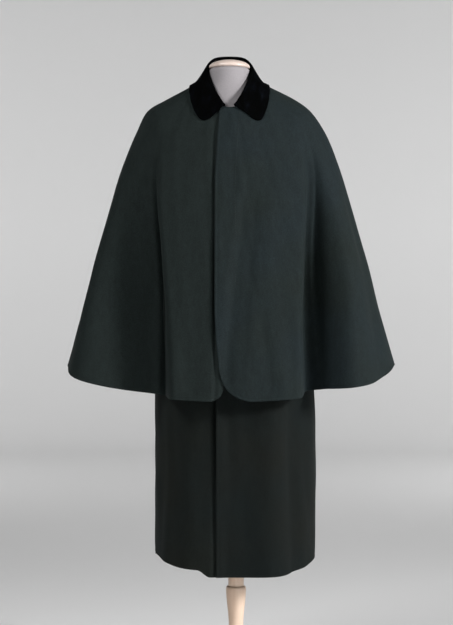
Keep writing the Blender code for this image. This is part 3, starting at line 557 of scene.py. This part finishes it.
def edge_profile(edge, wall):
    """How thick a shell is at a distance from its finished edge, as a share of its wall."""
    reach = 0.5 * wall
    nose = np.sqrt(np.clip(1.0 - (1.0 - np.clip(edge / reach, 0.0, 1.0)) ** 2, 0.0, 1.0))
    swollen = smooth(edge / SWELL_BY) * (1.0 - smooth((edge - SWELL_UNTIL) / SWELL_FADE))
    swell = 1.0 + (EDGE_SWELL - 1.0) * swollen
    pinch = 1.0 - PINCH_DEPTH * np.exp(-(((edge - TOPSTITCH) / PINCH_WIDTH) ** 2))
    return np.maximum(nose * swell * pinch, THINNEST)


def waves(angle, down, radius, edge):
    """The small unevenness of the cloth, in metres outward, calm at its finished edges."""
    around = np.radians(angle) * radius
    total = np.zeros(np.broadcast(around, down).shape)
    for wave in CLOTH_WAVES:
        turn = 2 * np.pi * (around / wave.around + down / wave.down) + wave.phase
        total += wave.depth * np.sin(turn)
    return total * smooth(edge / CALM_EDGE)


# ---- coat and cape


def degrees_of(gap, surface, angle, down):
    """The angles that a small distance round the surface covers."""
    step = surface.plain(angle + 0.5, down) - surface.plain(angle - 0.5, down)
    return gap / np.linalg.norm(step, axis=-1)


def armhole_half_angle(down):
    """Half the armhole's width at a height of the coat, in degrees."""
    middle = 0.5 * (ARMHOLE_TOP + ARMHOLE_BOTTOM)
    share = (down - middle) / (ARMHOLE_BOTTOM - middle)
    return ARMHOLE_HALF_ANGLE * np.sqrt(np.clip(1.0 - share * share, 0.0, 1.0))


def side_edge(side, down, inward):
    """The angle of a coat panel's edge at the shoulder, armhole and side seam."""
    seam = degrees_of(0.5 * SEAM_GAP, COAT, np.full(down.shape, side * 90.0), down)
    return side * 90.0 + inward * np.maximum(armhole_half_angle(down), seam)


def lap_lift(place_x, lift):
    """How far a lapping front stands out, easing back beside the lap."""
    return lift * (1.0 - smooth((place_x - LEFT_EDGE_X - LAP_FLAT) / LAP_EASE))


def lap(side, place_x, down, lift, stations):
    """How far a front laps out, its edge standing off, or sinks in under that edge."""
    off = np.interp(down, *zip(*stations))
    if side > 0:
        off = off * (1.0 - smooth((place_x - LEFT_EDGE_X) / GAPE_WIDTH))
        return lap_lift(place_x, lift) + off
    away = np.abs(place_x - LEFT_EDGE_X + GROOVE_ASIDE) / GROOVE_WIDTH
    hollow = 0.5 * (1.0 + np.cos(np.pi * np.minimum(away, 1.0)))
    return -(off * GROOVE_SHARE * hollow)


def hem_rise(place_x):
    """The step in the hem of the wearer's right front."""
    return HEM_STEP_RISE * smooth((HEM_STEP_FROM_X - place_x) / (HEM_STEP_FROM_X - HEM_STEP_TO_X))


def panel_places(first, last, shares, levels):
    """The angles and levels of a grid between two edges."""
    angle = first[:, None] + (last - first)[:, None] * shares[None, :]
    return angle, np.broadcast_to(levels[:, None], angle.shape)


def coat_levels():
    """The shares down the coat, close at the armhole's ends and the hem."""
    focus = (ARMHOLE_TOP / COAT.length, ARMHOLE_BOTTOM / COAT.length)
    plain = steps(0.0, 1.0, COAT_ROWS, focus, spread=0.02, weight=2.0)
    return with_edge(plain, COAT.length, False, True)


def coat_front(side):
    """The middle grid and edge distances of a coat front, front edge first."""
    edge_x = LEFT_EDGE_X if side > 0 else COAT_RIGHT_EDGE_X
    levels = coat_levels() * COAT.length
    first = COAT.angle_at(edge_x, levels)
    last = side_edge(side, levels, -side)
    spread = steps(0.0, 1.0, COAT_FRONT_COLUMNS, focus=(0.35,), spread=0.12, weight=0.8)
    shares = with_edge(spread, COAT_FRONT_WIDTH, True, False)
    angle, level = panel_places(first, last, shares, levels)
    place_x = COAT.plain(angle, level)[..., 0]
    down = level
    if side < 0:
        above_hem = 1.0 - level / COAT.length
        down = level - hem_rise(place_x) * smooth(1.0 - above_hem / COAT_HEM_SHARE)
    lift = lap(side, place_x, level, COAT_LAP_LIFT, COAT_GAPES)
    from_front = shares[None, :] * COAT_FRONT_WIDTH + np.zeros(angle.shape)
    edge = np.minimum(COAT.length - level, from_front)
    lift = lift + 0.5 * COAT_WALL + waves(angle, level, COAT_GIRTH_RADIUS, edge)
    return COAT.point(angle, down, lift), edge


def coat_back():
    """The middle grid and edge distances of the coat's back."""
    levels = coat_levels() * COAT.length
    first = side_edge(1, levels, 1)
    last = 360.0 + side_edge(-1, levels, -1)
    shares = steps(0.0, 1.0, COAT_BACK_COLUMNS)
    angle, level = panel_places(first, last, shares, levels)
    edge = COAT.length - level
    lift = 0.5 * COAT_WALL + waves(angle, level, COAT_GIRTH_RADIUS, edge)
    return COAT.point(angle, level, lift), edge


def cape_edge_x(side, height_share, above_hem):
    """Where a cape front's edge runs, with its rounded lower corner."""
    if side > 0:
        out = CAPE_LEFT_EDGE_MID_X - CAPE_NECK_EDGE_X
        back = CAPE_LEFT_EDGE_HEM_X - CAPE_LEFT_EDGE_MID_X
        edge = CAPE_NECK_EDGE_X + out * smooth(height_share / CAPE_EDGE_OUT_BY)
        edge = edge + back * smooth((height_share - CAPE_EDGE_IN_FROM) / CAPE_EDGE_IN_OVER)
        corner = CAPE_LEFT_CORNER
    else:
        fall = CAPE_RIGHT_EDGE_HEM_X - CAPE_RIGHT_EDGE_TOP_X
        edge = CAPE_RIGHT_EDGE_TOP_X + fall * height_share
        corner = CAPE_RIGHT_CORNER
    inside = np.maximum(corner - above_hem, 0.0)
    return edge + side * (corner - np.sqrt(corner * corner - inside * inside)), edge, corner


def cape_hem_rise(side, angle, row_share):
    """The wings' hem is a little higher than the front's, beyond the folds."""
    turn = np.minimum(np.abs(angle), 360.0 - np.abs(angle))
    beyond = smooth((turn - WING_RISE_FROM) / WING_RISE_OVER)
    beyond = beyond * (1.0 - smooth((turn - WING_FALL_FROM) / WING_FALL_OVER))
    return CAPE_WING_RISES[side] * beyond * smooth(1.0 - (1.0 - row_share) / CAPE_HEM_SHARE)


def cape_angles(side, shares, first, last, level):
    """The angles at shares of a cape half's width, its columns following the deep folds."""
    folds = [fold for fold in CAPE_FOLDS if fold.name in CAPE_TRACKS[side]]
    stops = [first, *(CAPE.fold_angle(fold, level) for fold in folds), last]
    knots = [0.0, *CAPE_TRACK_SHARES, 1.0]
    rows = [np.interp(shares, knots, [stop[row] for stop in stops]) for row in range(len(level))]
    return np.array(rows)


def cape_half(side):
    """The middle grid and edge distances of one half of the cape, front edge first."""
    plain_rows = steps(0.0, 1.0, CAPE_ROWS, focus=(0.0, 0.97), spread=0.06, weight=1.2)
    row_shares = with_edge(plain_rows, CAPE.length, False, True)
    level = row_shares * CAPE.length
    above_hem = CAPE.length - level
    edge_x, straight_x, corner = cape_edge_x(side, row_shares, above_hem)
    first = CAPE.angle_at(edge_x, level)
    gap = degrees_of(0.5 * SEAM_GAP, CAPE, np.full(level.shape, 180.0), level)
    last = side * 180.0 - side * gap
    focus = (0.06, *CAPE_TRACK_SHARES)
    spread = steps(0.0, 1.0, CAPE_COLUMNS, focus, spread=0.05, weight=1.6)
    shares = with_edge(spread, CAPE_HALF_WIDTH, True, False)
    angle = cape_angles(side, shares, first, last, level)
    down = np.broadcast_to(level[:, None], angle.shape)
    place_x = CAPE.plain(angle, down)[..., 0]
    lift = lap(side, place_x, down, CAPE_LAP_LIFT, CAPE_GAPES)
    lift = np.where(side * angle < 90.0, lift, 0.0)
    inside = np.abs(place_x - straight_x[:, None])
    above = np.broadcast_to(above_hem[:, None], angle.shape)
    reach = np.hypot(np.maximum(corner - inside, 0.0), np.maximum(corner - above, 0.0))
    ahead = np.abs(angle) < FRONT_HALF_ANGLE
    cornered = (inside < corner) & (above < corner) & ahead
    from_front = np.where(ahead, inside, 1.0)
    edge = np.where(cornered, corner - reach, np.minimum(from_front, above))
    edge = np.maximum(edge, 0.0)
    rise = cape_hem_rise(side, angle, row_shares[:, None])
    lift = lift + 0.5 * CAPE_WALL + waves(angle, down, CAPE_GIRTH_RADIUS, edge)
    return CAPE.point(angle, down - rise, lift), edge


# ---- collar


def curve_through(points, count):
    """Points along a smooth curve through the given ones."""
    points = np.asarray(points, float)
    padded = np.concatenate([[points[0] * 2 - points[1]], points, [points[-1] * 2 - points[-2]]])
    place = np.minimum(np.arange(count + 1) * (len(points) - 1) / count, len(points) - 1 - 1e-9)
    span = place.astype(int)
    share = (place - span).reshape(-1, *[1] * (points.ndim - 1))
    before, near, far, after = (padded[span + offset] for offset in range(4))
    return 0.5 * (
        near * 2
        + (far - before) * share
        + (before * 2 - near * 5 + far * 4 - after) * share ** 2
        + (near * 3 - before - far * 3 + after) * share ** 3
    )


def collar_seam(angle):
    """Where the stand is sewn to the coat, out over the lapping front's top edge."""
    place_x = float(COAT.point(angle, 0.0)[0])
    lift = 0.0
    if place_x > LEFT_EDGE_X and abs(angle) < 90.0:
        lift = float(lap_lift(place_x, COAT_LAP_LIFT))
    return COAT.point(angle, 0.0, lift + 0.5 * COAT_WALL) + np.array([0.0, 0.0, COLLAR_SEAM_RISE])


def collar_path(section, side):
    """The control points across the collar: stand, roll and fall."""
    seam = collar_seam(side * section.seam_angle)
    roll = np.array([NECK_X + side * section.roll_across, section.roll_y, section.roll_z])
    across, height = section.left_across, section.left_z
    if side < 0:
        across, height = section.right_across, section.right_z
    edge = np.array([NECK_X + side * across, section.edge_y, height])
    outward = (edge - seam) * np.array([1.0, 1.0, 0.0])
    outward /= np.linalg.norm(outward)
    drop = np.array([0.0, 0.0, min(COLLAR_ROLL, COLLAR_DROP_SHARE * (roll[2] - seam[2]))])
    inner = roll - outward * COLLAR_ROLL - drop
    outer = roll + outward * COLLAR_ROLL - drop
    over = outer + (edge - outer) * COLLAR_OVER_SHARE
    if section.seam_angle > COLLAR_SIDE_ANGLE:
        over = CAPE.point(side * section.seam_angle, COLLAR_OVER, COLLAR_OVER_LIFT)
    return [seam, inner, roll, outer, over, 0.5 * (over + edge), edge]


def search_tree(grid):
    """A search tree of a grid's face, run on a little over its top edge."""
    first = grid[0] - grid[1]
    over = grid[0] + first / np.linalg.norm(first, axis=-1, keepdims=True) * SEARCH_ABOVE
    grid = np.concatenate([[over], grid])
    rows, columns, _ = grid.shape
    points = [Vector(point) for point in grid.reshape(-1, 3)]
    return BVHTree.FromPolygons(points, grid_faces(rows, columns))


def kept_clear(grid, first_row, panels):
    """The collar's grid with its fall moved out to clear the cape, the push eased."""
    levels = np.array(GUIDE_LEVELS)[:, None] * GUIDE_SHARE * CAPE.length
    guide = search_tree(CAPE.point(np.arange(0.0, 361.0, GUIDE_TURN)[None, :], levels))
    clearance = 0.5 * COLLAR_WALL + COLLAR_AIR
    needs = np.zeros(grid.shape[:2])
    normals = np.zeros(grid.shape)
    for row in range(grid.shape[0]):
        for column in range(grid.shape[1]):
            point = Vector(grid[row, column])
            normal = guide.find_nearest(point)[1]
            normals[row, column] = normal
            if row < first_row:
                continue
            for panel in panels:
                hit, _, _, distance = panel.ray_cast(
                    point + normal * SEARCH_REACH, -normal, 2.0 * SEARCH_REACH,
                )
                if hit:
                    need = clearance - (distance - SEARCH_REACH)
                    needs[row, column] = max(needs[row, column], need)
    pushes = needs.copy()
    for _ in range(PUSH_PASSES):
        padded = np.pad(pushes, 1, mode="edge")
        mean = 0.25 * (padded[:-2, 1:-1] + padded[2:, 1:-1] + padded[1:-1, :-2] + padded[1:-1, 2:])
        pushes = np.maximum(mean, needs)
        pushes[:first_row] = 0.0
    return grid + normals * pushes[..., None]


def collar_grid(panels):
    """The middle grid of the whole collar and its points' distances from its edge."""
    stations = [(section, -1) for section in reversed(COLLAR_SECTIONS)]
    stations += [(section, 1) for section in COLLAR_SECTIONS[1:]]
    paths = [collar_path(section, side) for section, side in stations]
    turns = [180.0 + side * (180.0 - section.seam_angle) for section, side in stations]
    lines = curve_through(np.array(paths), COLLAR_COLUMNS)
    seam_turns = curve_through(np.array(turns), COLLAR_COLUMNS)
    for column, turn in enumerate(seam_turns):
        lines[column, 0] = collar_seam(-turn if turn < 180.0 else 360.0 - turn)
    grid = np.stack([curve_through(line, COLLAR_ROWS) for line in lines], axis=1)
    grid = kept_clear(grid, round(COLLAR_FALL_SHARE * COLLAR_ROWS), panels)
    grid = curve_through(grid, COLLAR_ROWS * COLLAR_FINER)
    grid = curve_through(grid.transpose(1, 0, 2), COLLAR_COLUMNS * COLLAR_FINER).transpose(1, 0, 2)
    down = np.linalg.norm(np.diff(grid, axis=0), axis=-1)[::-1].cumsum(axis=0)[::-1]
    from_edge = np.concatenate([down, np.zeros((1, grid.shape[1]))])
    steps_along = np.linalg.norm(np.diff(grid, axis=1), axis=-1)
    start = np.concatenate([np.zeros((grid.shape[0], 1)), steps_along.cumsum(axis=1)], axis=1)
    from_end = np.minimum(start, start[:, -1:] - start)
    return grid, np.minimum(from_edge, from_end)


# ---- turned pieces


def turned(name, profile, material, sides=96, at=(0.0, 0.0)):
    """A turned piece: a profile from top to bottom, spun round a vertical axis."""
    mesh = bpy.data.meshes.new(name)
    lines = [(index, index + 1) for index in range(len(profile) - 1)]
    mesh.from_pydata([(radius, 0.0, z) for radius, z in profile], lines, [])
    piece = in_scene(name, mesh)
    piece.location = (*at, 0.0)
    screw = piece.modifiers.new("turned", "SCREW")
    screw.axis = "Z"
    screw.steps = sides
    screw.render_steps = sides
    screw.use_merge_vertices = True
    screw.merge_threshold = MERGE_WITHIN
    screw.use_smooth_shade = True
    shown = piece.evaluated_get(bpy.context.evaluated_depsgraph_get())
    piece.data = bpy.data.meshes.new_from_object(shown)
    piece.modifiers.clear()
    piece.data.materials.append(material)
    piece.data.set_sharp_from_angle(angle=SHARP_ANGLE)
    return piece


def rounded(profile, finer=5):
    """A profile with a smooth curve through its points."""
    return [tuple(point) for point in curve_through(np.array(profile), (len(profile) - 1) * finer)]


# ---- materials


def new_material(name, colour, roughness, values=None):
    """A material with its plain values set on the shader's own sockets."""
    made = bpy.data.materials.new(name)
    made.use_nodes = True
    inputs = made.node_tree.nodes["Principled BSDF"].inputs
    plain = {"Base Color": (*colour, 1.0), "Roughness": roughness, "Metallic": 0.0}
    for key, value in {**plain, **(values or {})}.items():
        inputs[key].default_value = value
    return made


class Nodes:
    """Adds nodes to a material and links them."""

    def __init__(self, material):
        self.tree = material.node_tree
        self.shader = self.tree.nodes["Principled BSDF"]

    def add(self, kind, **values):
        """A node with some of its properties and input values."""
        node = self.tree.nodes.new(kind)
        for key, value in values.items():
            if hasattr(node, key):
                setattr(node, key, value)
            else:
                node.inputs[key].default_value = value
        return node

    def link(self, source, target):
        """One link."""
        self.tree.links.new(source, target)

    def noise(self, scale, detail=2.0, roughness=0.5, stretch=(1.0, 1.0, 1.0)):
        """A noise in the object's own coordinates."""
        place = self.add("ShaderNodeTexCoord")
        mapping = self.add("ShaderNodeMapping")
        mapping.inputs["Scale"].default_value = stretch
        self.link(place.outputs["Object"], mapping.inputs["Vector"])
        noise = self.add("ShaderNodeTexNoise", Scale=scale, Detail=detail, Roughness=roughness)
        self.link(mapping.outputs["Vector"], noise.inputs["Vector"])
        return noise.outputs["Fac"]

    def ramp(self, source, stops):
        """Colours along a value from 0 to 1."""
        node = self.add("ShaderNodeValToRGB")
        self.link(source, node.inputs["Fac"])
        ramp = node.color_ramp
        while len(ramp.elements) < len(stops):
            ramp.elements.new(0.5)
        for element, (place, colour) in zip(ramp.elements, stops):
            element.position = place
            element.color = (*colour, 1.0)
        return node.outputs["Color"]

    def product(self, first, second):
        """Two colours multiplied."""
        node = self.add("ShaderNodeMix", data_type="RGBA", blend_type="MULTIPLY")
        node.inputs[0].default_value = 1.0
        self.link(first, node.inputs[6])
        self.link(second, node.inputs[7])
        return node.outputs[2]

    def bump(self, height, strength, distance):
        """A bump on the shader."""
        node = self.add("ShaderNodeBump", Strength=strength, Distance=distance)
        self.link(height, node.inputs["Height"])
        self.link(node.outputs["Normal"], self.shader.inputs["Normal"])

    def colour(self, source):
        """The shader's colour."""
        self.link(source, self.shader.inputs["Base Color"])


def grey(share):
    """A grey, for colours to be multiplied by."""
    return (share,) * 3


def wool_material(name, blue, olive):
    """Milled wool, mottled between a bluer and a more olive dark green."""
    mean = tuple(0.5 * (a + b) for a, b in zip(blue, olive))
    made = new_material(name, mean, roughness=0.85, values=WOOL_LOOK)
    nodes = Nodes(made)
    broad = nodes.ramp(nodes.noise(5.5), [(0.36, blue), (0.66, olive)])
    fine = nodes.noise(420.0, detail=3.0, roughness=0.6)
    fine = nodes.ramp(fine, [(0.30, grey(0.62)), (0.72, grey(1.36))])
    nap = nodes.noise(120.0, roughness=0.6, stretch=(1.0, 1.0, 0.35))
    nap = nodes.ramp(nap, [(0.25, grey(0.84)), (0.75, grey(1.16))])
    nodes.colour(nodes.product(nodes.product(broad, fine), nap))
    nodes.bump(nodes.noise(620.0, detail=3.0, roughness=0.7), strength=0.55, distance=0.0006)
    return made


def velvet_material():
    """Black velvet with a faint brushed nap, in streaks of its own tone and of painted sheen."""
    made = new_material("velvet", VELVET, roughness=0.95, values=VELVET_LOOK)
    nodes = Nodes(made)
    nap_and_sheen = nodes.noise(70.0, detail=3.0, roughness=0.6, stretch=(1.0, 0.5, 0.25))
    nodes.colour(nodes.ramp(nap_and_sheen, [(0.45, VELVET), (0.62, VELVET_SHEEN_MARK), (0.80, VELVET_SHEEN_STREAK)]))
    nodes.bump(nodes.noise(900.0, roughness=0.6), strength=0.5, distance=0.0005)
    return made


def form_material():
    """The form's grey cloth, in a fine even weave."""
    made = new_material("form_cloth", FORM_GREY, roughness=0.85)
    nodes = Nodes(made)
    weave = nodes.noise(700.0)
    dark, light = (tuple(share * part for part in FORM_GREY) for share in (0.90, 1.08))
    nodes.colour(nodes.ramp(weave, [(0.3, dark), (0.7, light)]))
    nodes.bump(weave, strength=0.25, distance=0.0004)
    return made


def wood_material(name, light, dark, stretch):
    """Satin wood with a fine grain."""
    made = new_material(name, light, roughness=0.38, values=SATIN_LOOK)
    nodes = Nodes(made)
    grain = nodes.noise(28.0, detail=5.0, roughness=0.62, stretch=stretch)
    nodes.colour(nodes.ramp(grain, [(0.36, dark), (0.62, light)]))
    nodes.bump(grain, strength=0.08, distance=0.0006)
    return made


# ---- colours

WOOL_BLUE = (0.0090, 0.0143, 0.0159)
WOOL_GREEN = (0.0090, 0.0135, 0.0128)
COAT_GREEN = (0.0054, 0.0082, 0.0078)
COAT_OLIVE = (0.0064, 0.0080, 0.0064)
# the lapping left coat front: the coat's own wool painted about 30% darker, painted shade for the
# cape's shadow on it
COAT_LAP_SHADED_GREEN = (0.0038, 0.0062, 0.0060)
COAT_LAP_SHADED_OLIVE = (0.0047, 0.0060, 0.0050)
VELVET = (0.0005, 0.0006, 0.0006)
# the velvet's lighter navy streaks: partly the nap's own tone, partly painted sheen
VELVET_SHEEN_MARK = (0.0009, 0.0011, 0.0015)
VELVET_SHEEN_STREAK = (0.0030, 0.0040, 0.0060)
FORM_GREY = (0.275, 0.258, 0.268)
CAP_LIGHT = (0.64, 0.53, 0.47)
CAP_DARK = (0.57, 0.455, 0.395)
POLE_LIGHT = (0.74, 0.57, 0.445)
POLE_DARK = (0.66, 0.475, 0.35)
BACKDROP = (0.80, 0.80, 0.80)
STITCH = (0.010, 0.014, 0.015)
WOOL_LOOK = {
    "Sheen Weight": 0.03,
    "Sheen Roughness": 0.45,
    "Sheen Tint": (0.24, 0.32, 0.32, 1.0),
    "Specular IOR Level": 0.12,
}
SATIN_LOOK = {"Coat Weight": 0.25, "Coat Roughness": 0.25}
VELVET_LOOK = {
    "Sheen Weight": 0.008,
    "Sheen Roughness": 0.30,
    "Sheen Tint": (0.25, 0.35, 0.50, 1.0),
    "Specular IOR Level": 0.02,
}

# ---- sewing


def stitch_line(name, places, normals, material):
    """A row of short thread stitches along a line of points on the cloth."""
    places = np.asarray(places)
    run = np.concatenate([[0.0], np.linalg.norm(np.diff(places, axis=0), axis=-1).cumsum()])
    pitch = STITCH_LENGTH + STITCH_GAP
    starts = np.arange(0.5 * STITCH_GAP, run[-1] - STITCH_LENGTH, pitch)

    def at(distance):
        place = [np.interp(distance, run, places[:, axis]) for axis in range(3)]
        normal = [np.interp(distance, run, normals[:, axis]) for axis in range(3)]
        return np.array(place), np.array(normal) / np.linalg.norm(normal)

    points, faces = [], []
    for start in starts:
        first, normal = at(start)
        last, _ = at(start + STITCH_LENGTH)
        ahead = (last - first) / max(np.linalg.norm(last - first), 1e-9)
        side = np.cross(normal, ahead)
        base = len(points)
        for share in STITCH_SHARES:
            arc = math.pi * (STITCH_ARC_FROM + STITCH_ARC * share)
            rise = STITCH_RISE * math.sin(arc) - STITCH_SUNK
            middle = first + (last - first) * share + normal * rise
            for turn in range(STITCH_SIDES):
                way = 2.0 * math.pi * turn / STITCH_SIDES
                out = side * math.cos(way) + normal * math.sin(way)
                points.append(middle + 0.5 * STITCH_WIDTH * out)
        sides = grid_faces(len(STITCH_SHARES), STITCH_SIDES, closed=True)
        faces += [turned_over(face, base) for face in sides]
        faces.append(tuple(base + turn for turn in reversed(range(STITCH_SIDES))))
        faces.append(tuple(base + 3 * STITCH_SIDES + turn for turn in range(STITCH_SIDES)))
    return mesh_object(name, points, faces, material)


# ---- the scene

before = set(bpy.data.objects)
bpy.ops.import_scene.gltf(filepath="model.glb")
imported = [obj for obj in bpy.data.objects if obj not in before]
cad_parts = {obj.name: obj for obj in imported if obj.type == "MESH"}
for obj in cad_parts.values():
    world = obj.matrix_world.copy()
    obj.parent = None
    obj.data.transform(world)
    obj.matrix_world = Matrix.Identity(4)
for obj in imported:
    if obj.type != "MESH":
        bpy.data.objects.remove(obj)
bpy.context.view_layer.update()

MATERIALS = {
    "cape_left": wool_material("wool_cape_left", WOOL_BLUE, WOOL_GREEN),
    "cape_right": wool_material("wool_cape_right", WOOL_GREEN, WOOL_GREEN),
    # the left coat front's darker wool is painted shade
    "coat_front_left": wool_material("wool_coat_left_painted_shade", COAT_LAP_SHADED_GREEN, COAT_LAP_SHADED_OLIVE),
    "coat_front_right": wool_material("wool_coat_right", COAT_GREEN, COAT_OLIVE),
    "coat_back": wool_material("wool_coat_back", COAT_GREEN, COAT_OLIVE),
}
GRIDS = {}


def declare(piece, node):
    """A piece of the fixed body that shows in the place of a solid."""
    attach(piece, "root")
    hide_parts(node)


def add_cloth(name, grid, edge, wall, material):
    """A cloth piece in the place of its solid, declared as the sheet it was cut from."""
    piece = shell(name + "_cloth", grid, wall, material, edge)
    declare(piece, name)
    GRIDS[name] = grid


SHEETS = (
    ("coat_front_left", 1, coat_front(1), COAT_WALL),
    ("coat_front_right", -1, coat_front(-1), COAT_WALL),
    ("coat_back", 1, coat_back(), COAT_WALL),
    ("cape_left", 1, cape_half(1), CAPE_WALL),
    ("cape_right", -1, cape_half(-1), CAPE_WALL),
)

# all with their columns running round the wearer from right to left
for name, side, (grid, edge), wall in SHEETS:
    add_cloth(name, grid[:, ::side], edge[:, ::side], wall, MATERIALS[name])

panels = []
for name in ("cape_left", "cape_right"):
    grid = GRIDS[name]
    panels.append(search_tree((grid + grid_normals(grid) * 0.5 * CAPE_WALL)[::2, ::2]))
grid, edge = collar_grid(panels)
velvet = velvet_material()
add_cloth("collar", grid, edge, COLLAR_WALL, velvet)

# the dress form, its cloth turned in at the top of the neck
NECK_RIM = 0.0040
NECK_RIM_LEVELS = (0.0, 0.0012, 0.0024, 0.0036, 0.0048)
FORM_FROM = 0.010           # where the form's even rows start below its rim
FORM_ROWS = 89
FORM_TURN = 3.0
form_cloth = form_material()
turns = np.arange(0.0, 360.0, FORM_TURN)
levels = np.concatenate([NECK_RIM_LEVELS, np.linspace(FORM_FROM, FORM.length, FORM_ROWS)])
sunk = -NECK_RIM * (1.0 - smooth(levels / NECK_RIM_LEVELS[-1]))
grid = FORM.point(turns[None, :], levels[:, None], sunk[:, None])
rows, columns, _ = grid.shape
points = [*grid.reshape(-1, 3), grid[0].mean(axis=0), grid[-1].mean(axis=0)]
faces = grid_faces(rows, columns, closed=True)
for column in range(columns):
    following = (column + 1) % columns
    faces.append((rows * columns, column, following))
    last = (rows - 1) * columns
    faces.append((rows * columns + 1, last + following, last + column))
torso = mesh_object("form_torso_smooth", points, faces, form_cloth)
torso.data.set_sharp_from_angle(angle=SHARP_ANGLE)
declare(torso, "form_torso")

# the turned wood
cap_wood = wood_material("cap_wood", CAP_LIGHT, CAP_DARK, (1.0, 0.25, 1.0))
pole_wood = wood_material("pole_wood", POLE_LIGHT, POLE_DARK, (1.0, 1.0, 0.08))
foot = NECK_TOP_Z + SEAM_GAP
cap_radius = 0.5 * CAP_DIAMETER
dome = [(0.0, foot + CAP_RISE)]
for degrees in range(4, 88, 4):
    turn = math.radians(degrees)
    height = CAP_EDGE + (CAP_RISE - CAP_EDGE) * math.cos(turn)
    dome.append((cap_radius * math.sin(turn) ** CAP_FULLNESS, foot + height))
dome += [
    (cap_radius, foot + 0.0046),
    (cap_radius + 0.0001, foot + 0.0034),
    (cap_radius - 0.0006, foot + 0.0014),
    (cap_radius - 0.0030, foot),
    (0.0, foot),
]
cap = turned("neck_cap_fine", dome, cap_wood, at=(NECK_X, 0.0))
shaft_radius = 0.5 * SHAFT_DIAMETER
shaft = [(0.0, SHAFT_TOP_Z), (shaft_radius, SHAFT_TOP_Z),
         (shaft_radius, COLUMN_TOP_Z + SEAM_GAP), (0.0, COLUMN_TOP_Z + SEAM_GAP)]
shaft_piece = turned("stand_shaft_fine", shaft, pole_wood)
top, waist = 0.5 * COLUMN_TOP_DIAMETER, 0.5 * COLUMN_WAIST_DIAMETER
column_foot = BASE_THICKNESS + SEAM_GAP
curve = rounded([
    (top - 0.0045, COLUMN_TOP_Z),
    (top - 0.0012, COLUMN_TOP_Z - 0.0022),
    (top, COLUMN_TOP_Z - 0.0070),
    (top - 0.0002, COLUMN_TOP_Z - 0.0180),
    (top - 0.0020, COLUMN_TOP_Z - 0.0400),
    (waist + 0.0012, COLUMN_TOP_Z - 0.0750),
    (waist, COLUMN_TOP_Z - 0.1050),
    (waist + 0.0012, 0.120),
    (waist + 0.0050, 0.080),
    (waist + 0.0120, 0.052),
    (waist + 0.0150, 0.040),
])
column = [(0.0, COLUMN_TOP_Z), *curve, (waist + 0.0150, column_foot), (0.0, column_foot)]
column_piece = turned("stand_column_fine", column, pole_wood)
rim = 0.5 * BASE_DIAMETER
edge_curve = rounded([
    (rim - 0.016, BASE_THICKNESS),
    (rim - 0.006, BASE_THICKNESS - 0.0025),
    (rim, BASE_THICKNESS - 0.0095),
    (rim, 0.003),
    (rim - 0.003, 0.0),
])
base = turned("stand_base_fine", [(0.0, BASE_THICKNESS), *edge_curve, (0.0, 0.0)], pole_wood, 160)
declare(cap, "neck_cap")
declare(shaft_piece, "stand_shaft")
declare(column_piece, "stand_column")
declare(base, "stand_base")

# the hidden fly's stitching on the cape's left front
stitch = new_material("stitch", STITCH, roughness=0.8)
grid = GRIDS["cape_left"]
run = np.arange(FLY_STITCH_FROM, FLY_STITCH_TO, 0.004)
edge_x = cape_edge_x(1, run / CAPE.length, CAPE.length - run)[0]
angle = CAPE.angle_at(edge_x + FLY_STITCH, run)
places = CAPE.point(angle, run, CAPE_LAP_LIFT + CAPE_WALL + FLY_LIFT)
fly = stitch_line("fly_stitches", places, CAPE.normal(angle, run), stitch)
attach(fly, "root")

# ---- studio

FLOOR_RADIUS = 7.0
COVE_RADIUS = 1.6
WALL_TOP = 7.0
AMBIENT = 0.03

LENS = 92.16                # millimetres: at 4 m a pixel of the picture is 2.5 mm
SENSOR = 36.0
CLIP_END = 60.0
CAMERA_PLACE = (-0.02375, -4.0, 0.954)

# a round studio: a floor, a cove and a wall all about the object
profile = [(0.0, 0.0), (0.5 * FLOOR_RADIUS, 0.0)]
for turn in range(0, 91, 6):
    way = math.radians(turn)
    height = COVE_RADIUS * (1.0 - math.cos(way))
    profile.append((FLOOR_RADIUS + COVE_RADIUS * math.sin(way), height))
profile.append((FLOOR_RADIUS + COVE_RADIUS, WALL_TOP))
backdrop = turned("backdrop", profile, new_material("backdrop", BACKDROP, roughness=0.95))


# Square soft lights: where each stands, what it is aimed at, its size and its power in watts.
Light = namedtuple("Light", "name place aim size power")

LIGHTS = table(Light, [
    ("key", (3.6, -2.4, 2.6), (0.0, 0.0, 1.0), 0.9, 250.0),
    ("front_fill", (-0.3, -5.0, 1.4), (0.0, 0.0, 1.0), 1.2, 1.5),
    ("low_fill", (0.1, -1.6, 0.15), (0.0, 0.0, 0.25), 0.5, 3.0),
    ("left_fill", (-2.2, -2.3, 3.6), (0.0, 0.0, 1.2), 1.2, 88.0),
    ("rim", (3.4, -0.4, 1.7), (0.2, 0.0, 0.9), 0.9, 22.0),
    ("backdrop_left", (-3.3, 4.2, 2.4), (-1.2, 8.0, 1.0), 1.5, 42.0),
    ("backdrop_right", (3.3, 4.2, 2.3), (1.2, 8.0, 0.9), 1.5, 62.0),
])

for light in LIGHTS:
    data = bpy.data.lights.new(light.name, "AREA")
    data.shape = "SQUARE"
    data.size = light.size
    data.energy = light.power
    made = in_scene(light.name, data)
    made.location = light.place
    made.visible_camera = False
    way = Vector(light.aim) - Vector(light.place)
    made.rotation_euler = way.to_track_quat("-Z", "Y").to_euler()

world = bpy.data.worlds.new("studio")
world.use_nodes = True
background = world.node_tree.nodes["Background"].inputs
background["Color"].default_value = (1.0, 1.0, 1.0, 1.0)
background["Strength"].default_value = AMBIENT
bpy.context.scene.world = world
bpy.context.scene.view_settings.view_transform = "Standard"

camera_data = bpy.data.cameras.new("camera")
camera_data.lens = LENS
camera_data.sensor_width = SENSOR
camera_data.clip_end = CLIP_END
camera = in_scene("camera", camera_data)
camera.location = CAMERA_PLACE
camera.rotation_euler = (math.radians(90.0), 0.0, 0.0)
bpy.context.scene.camera = camera
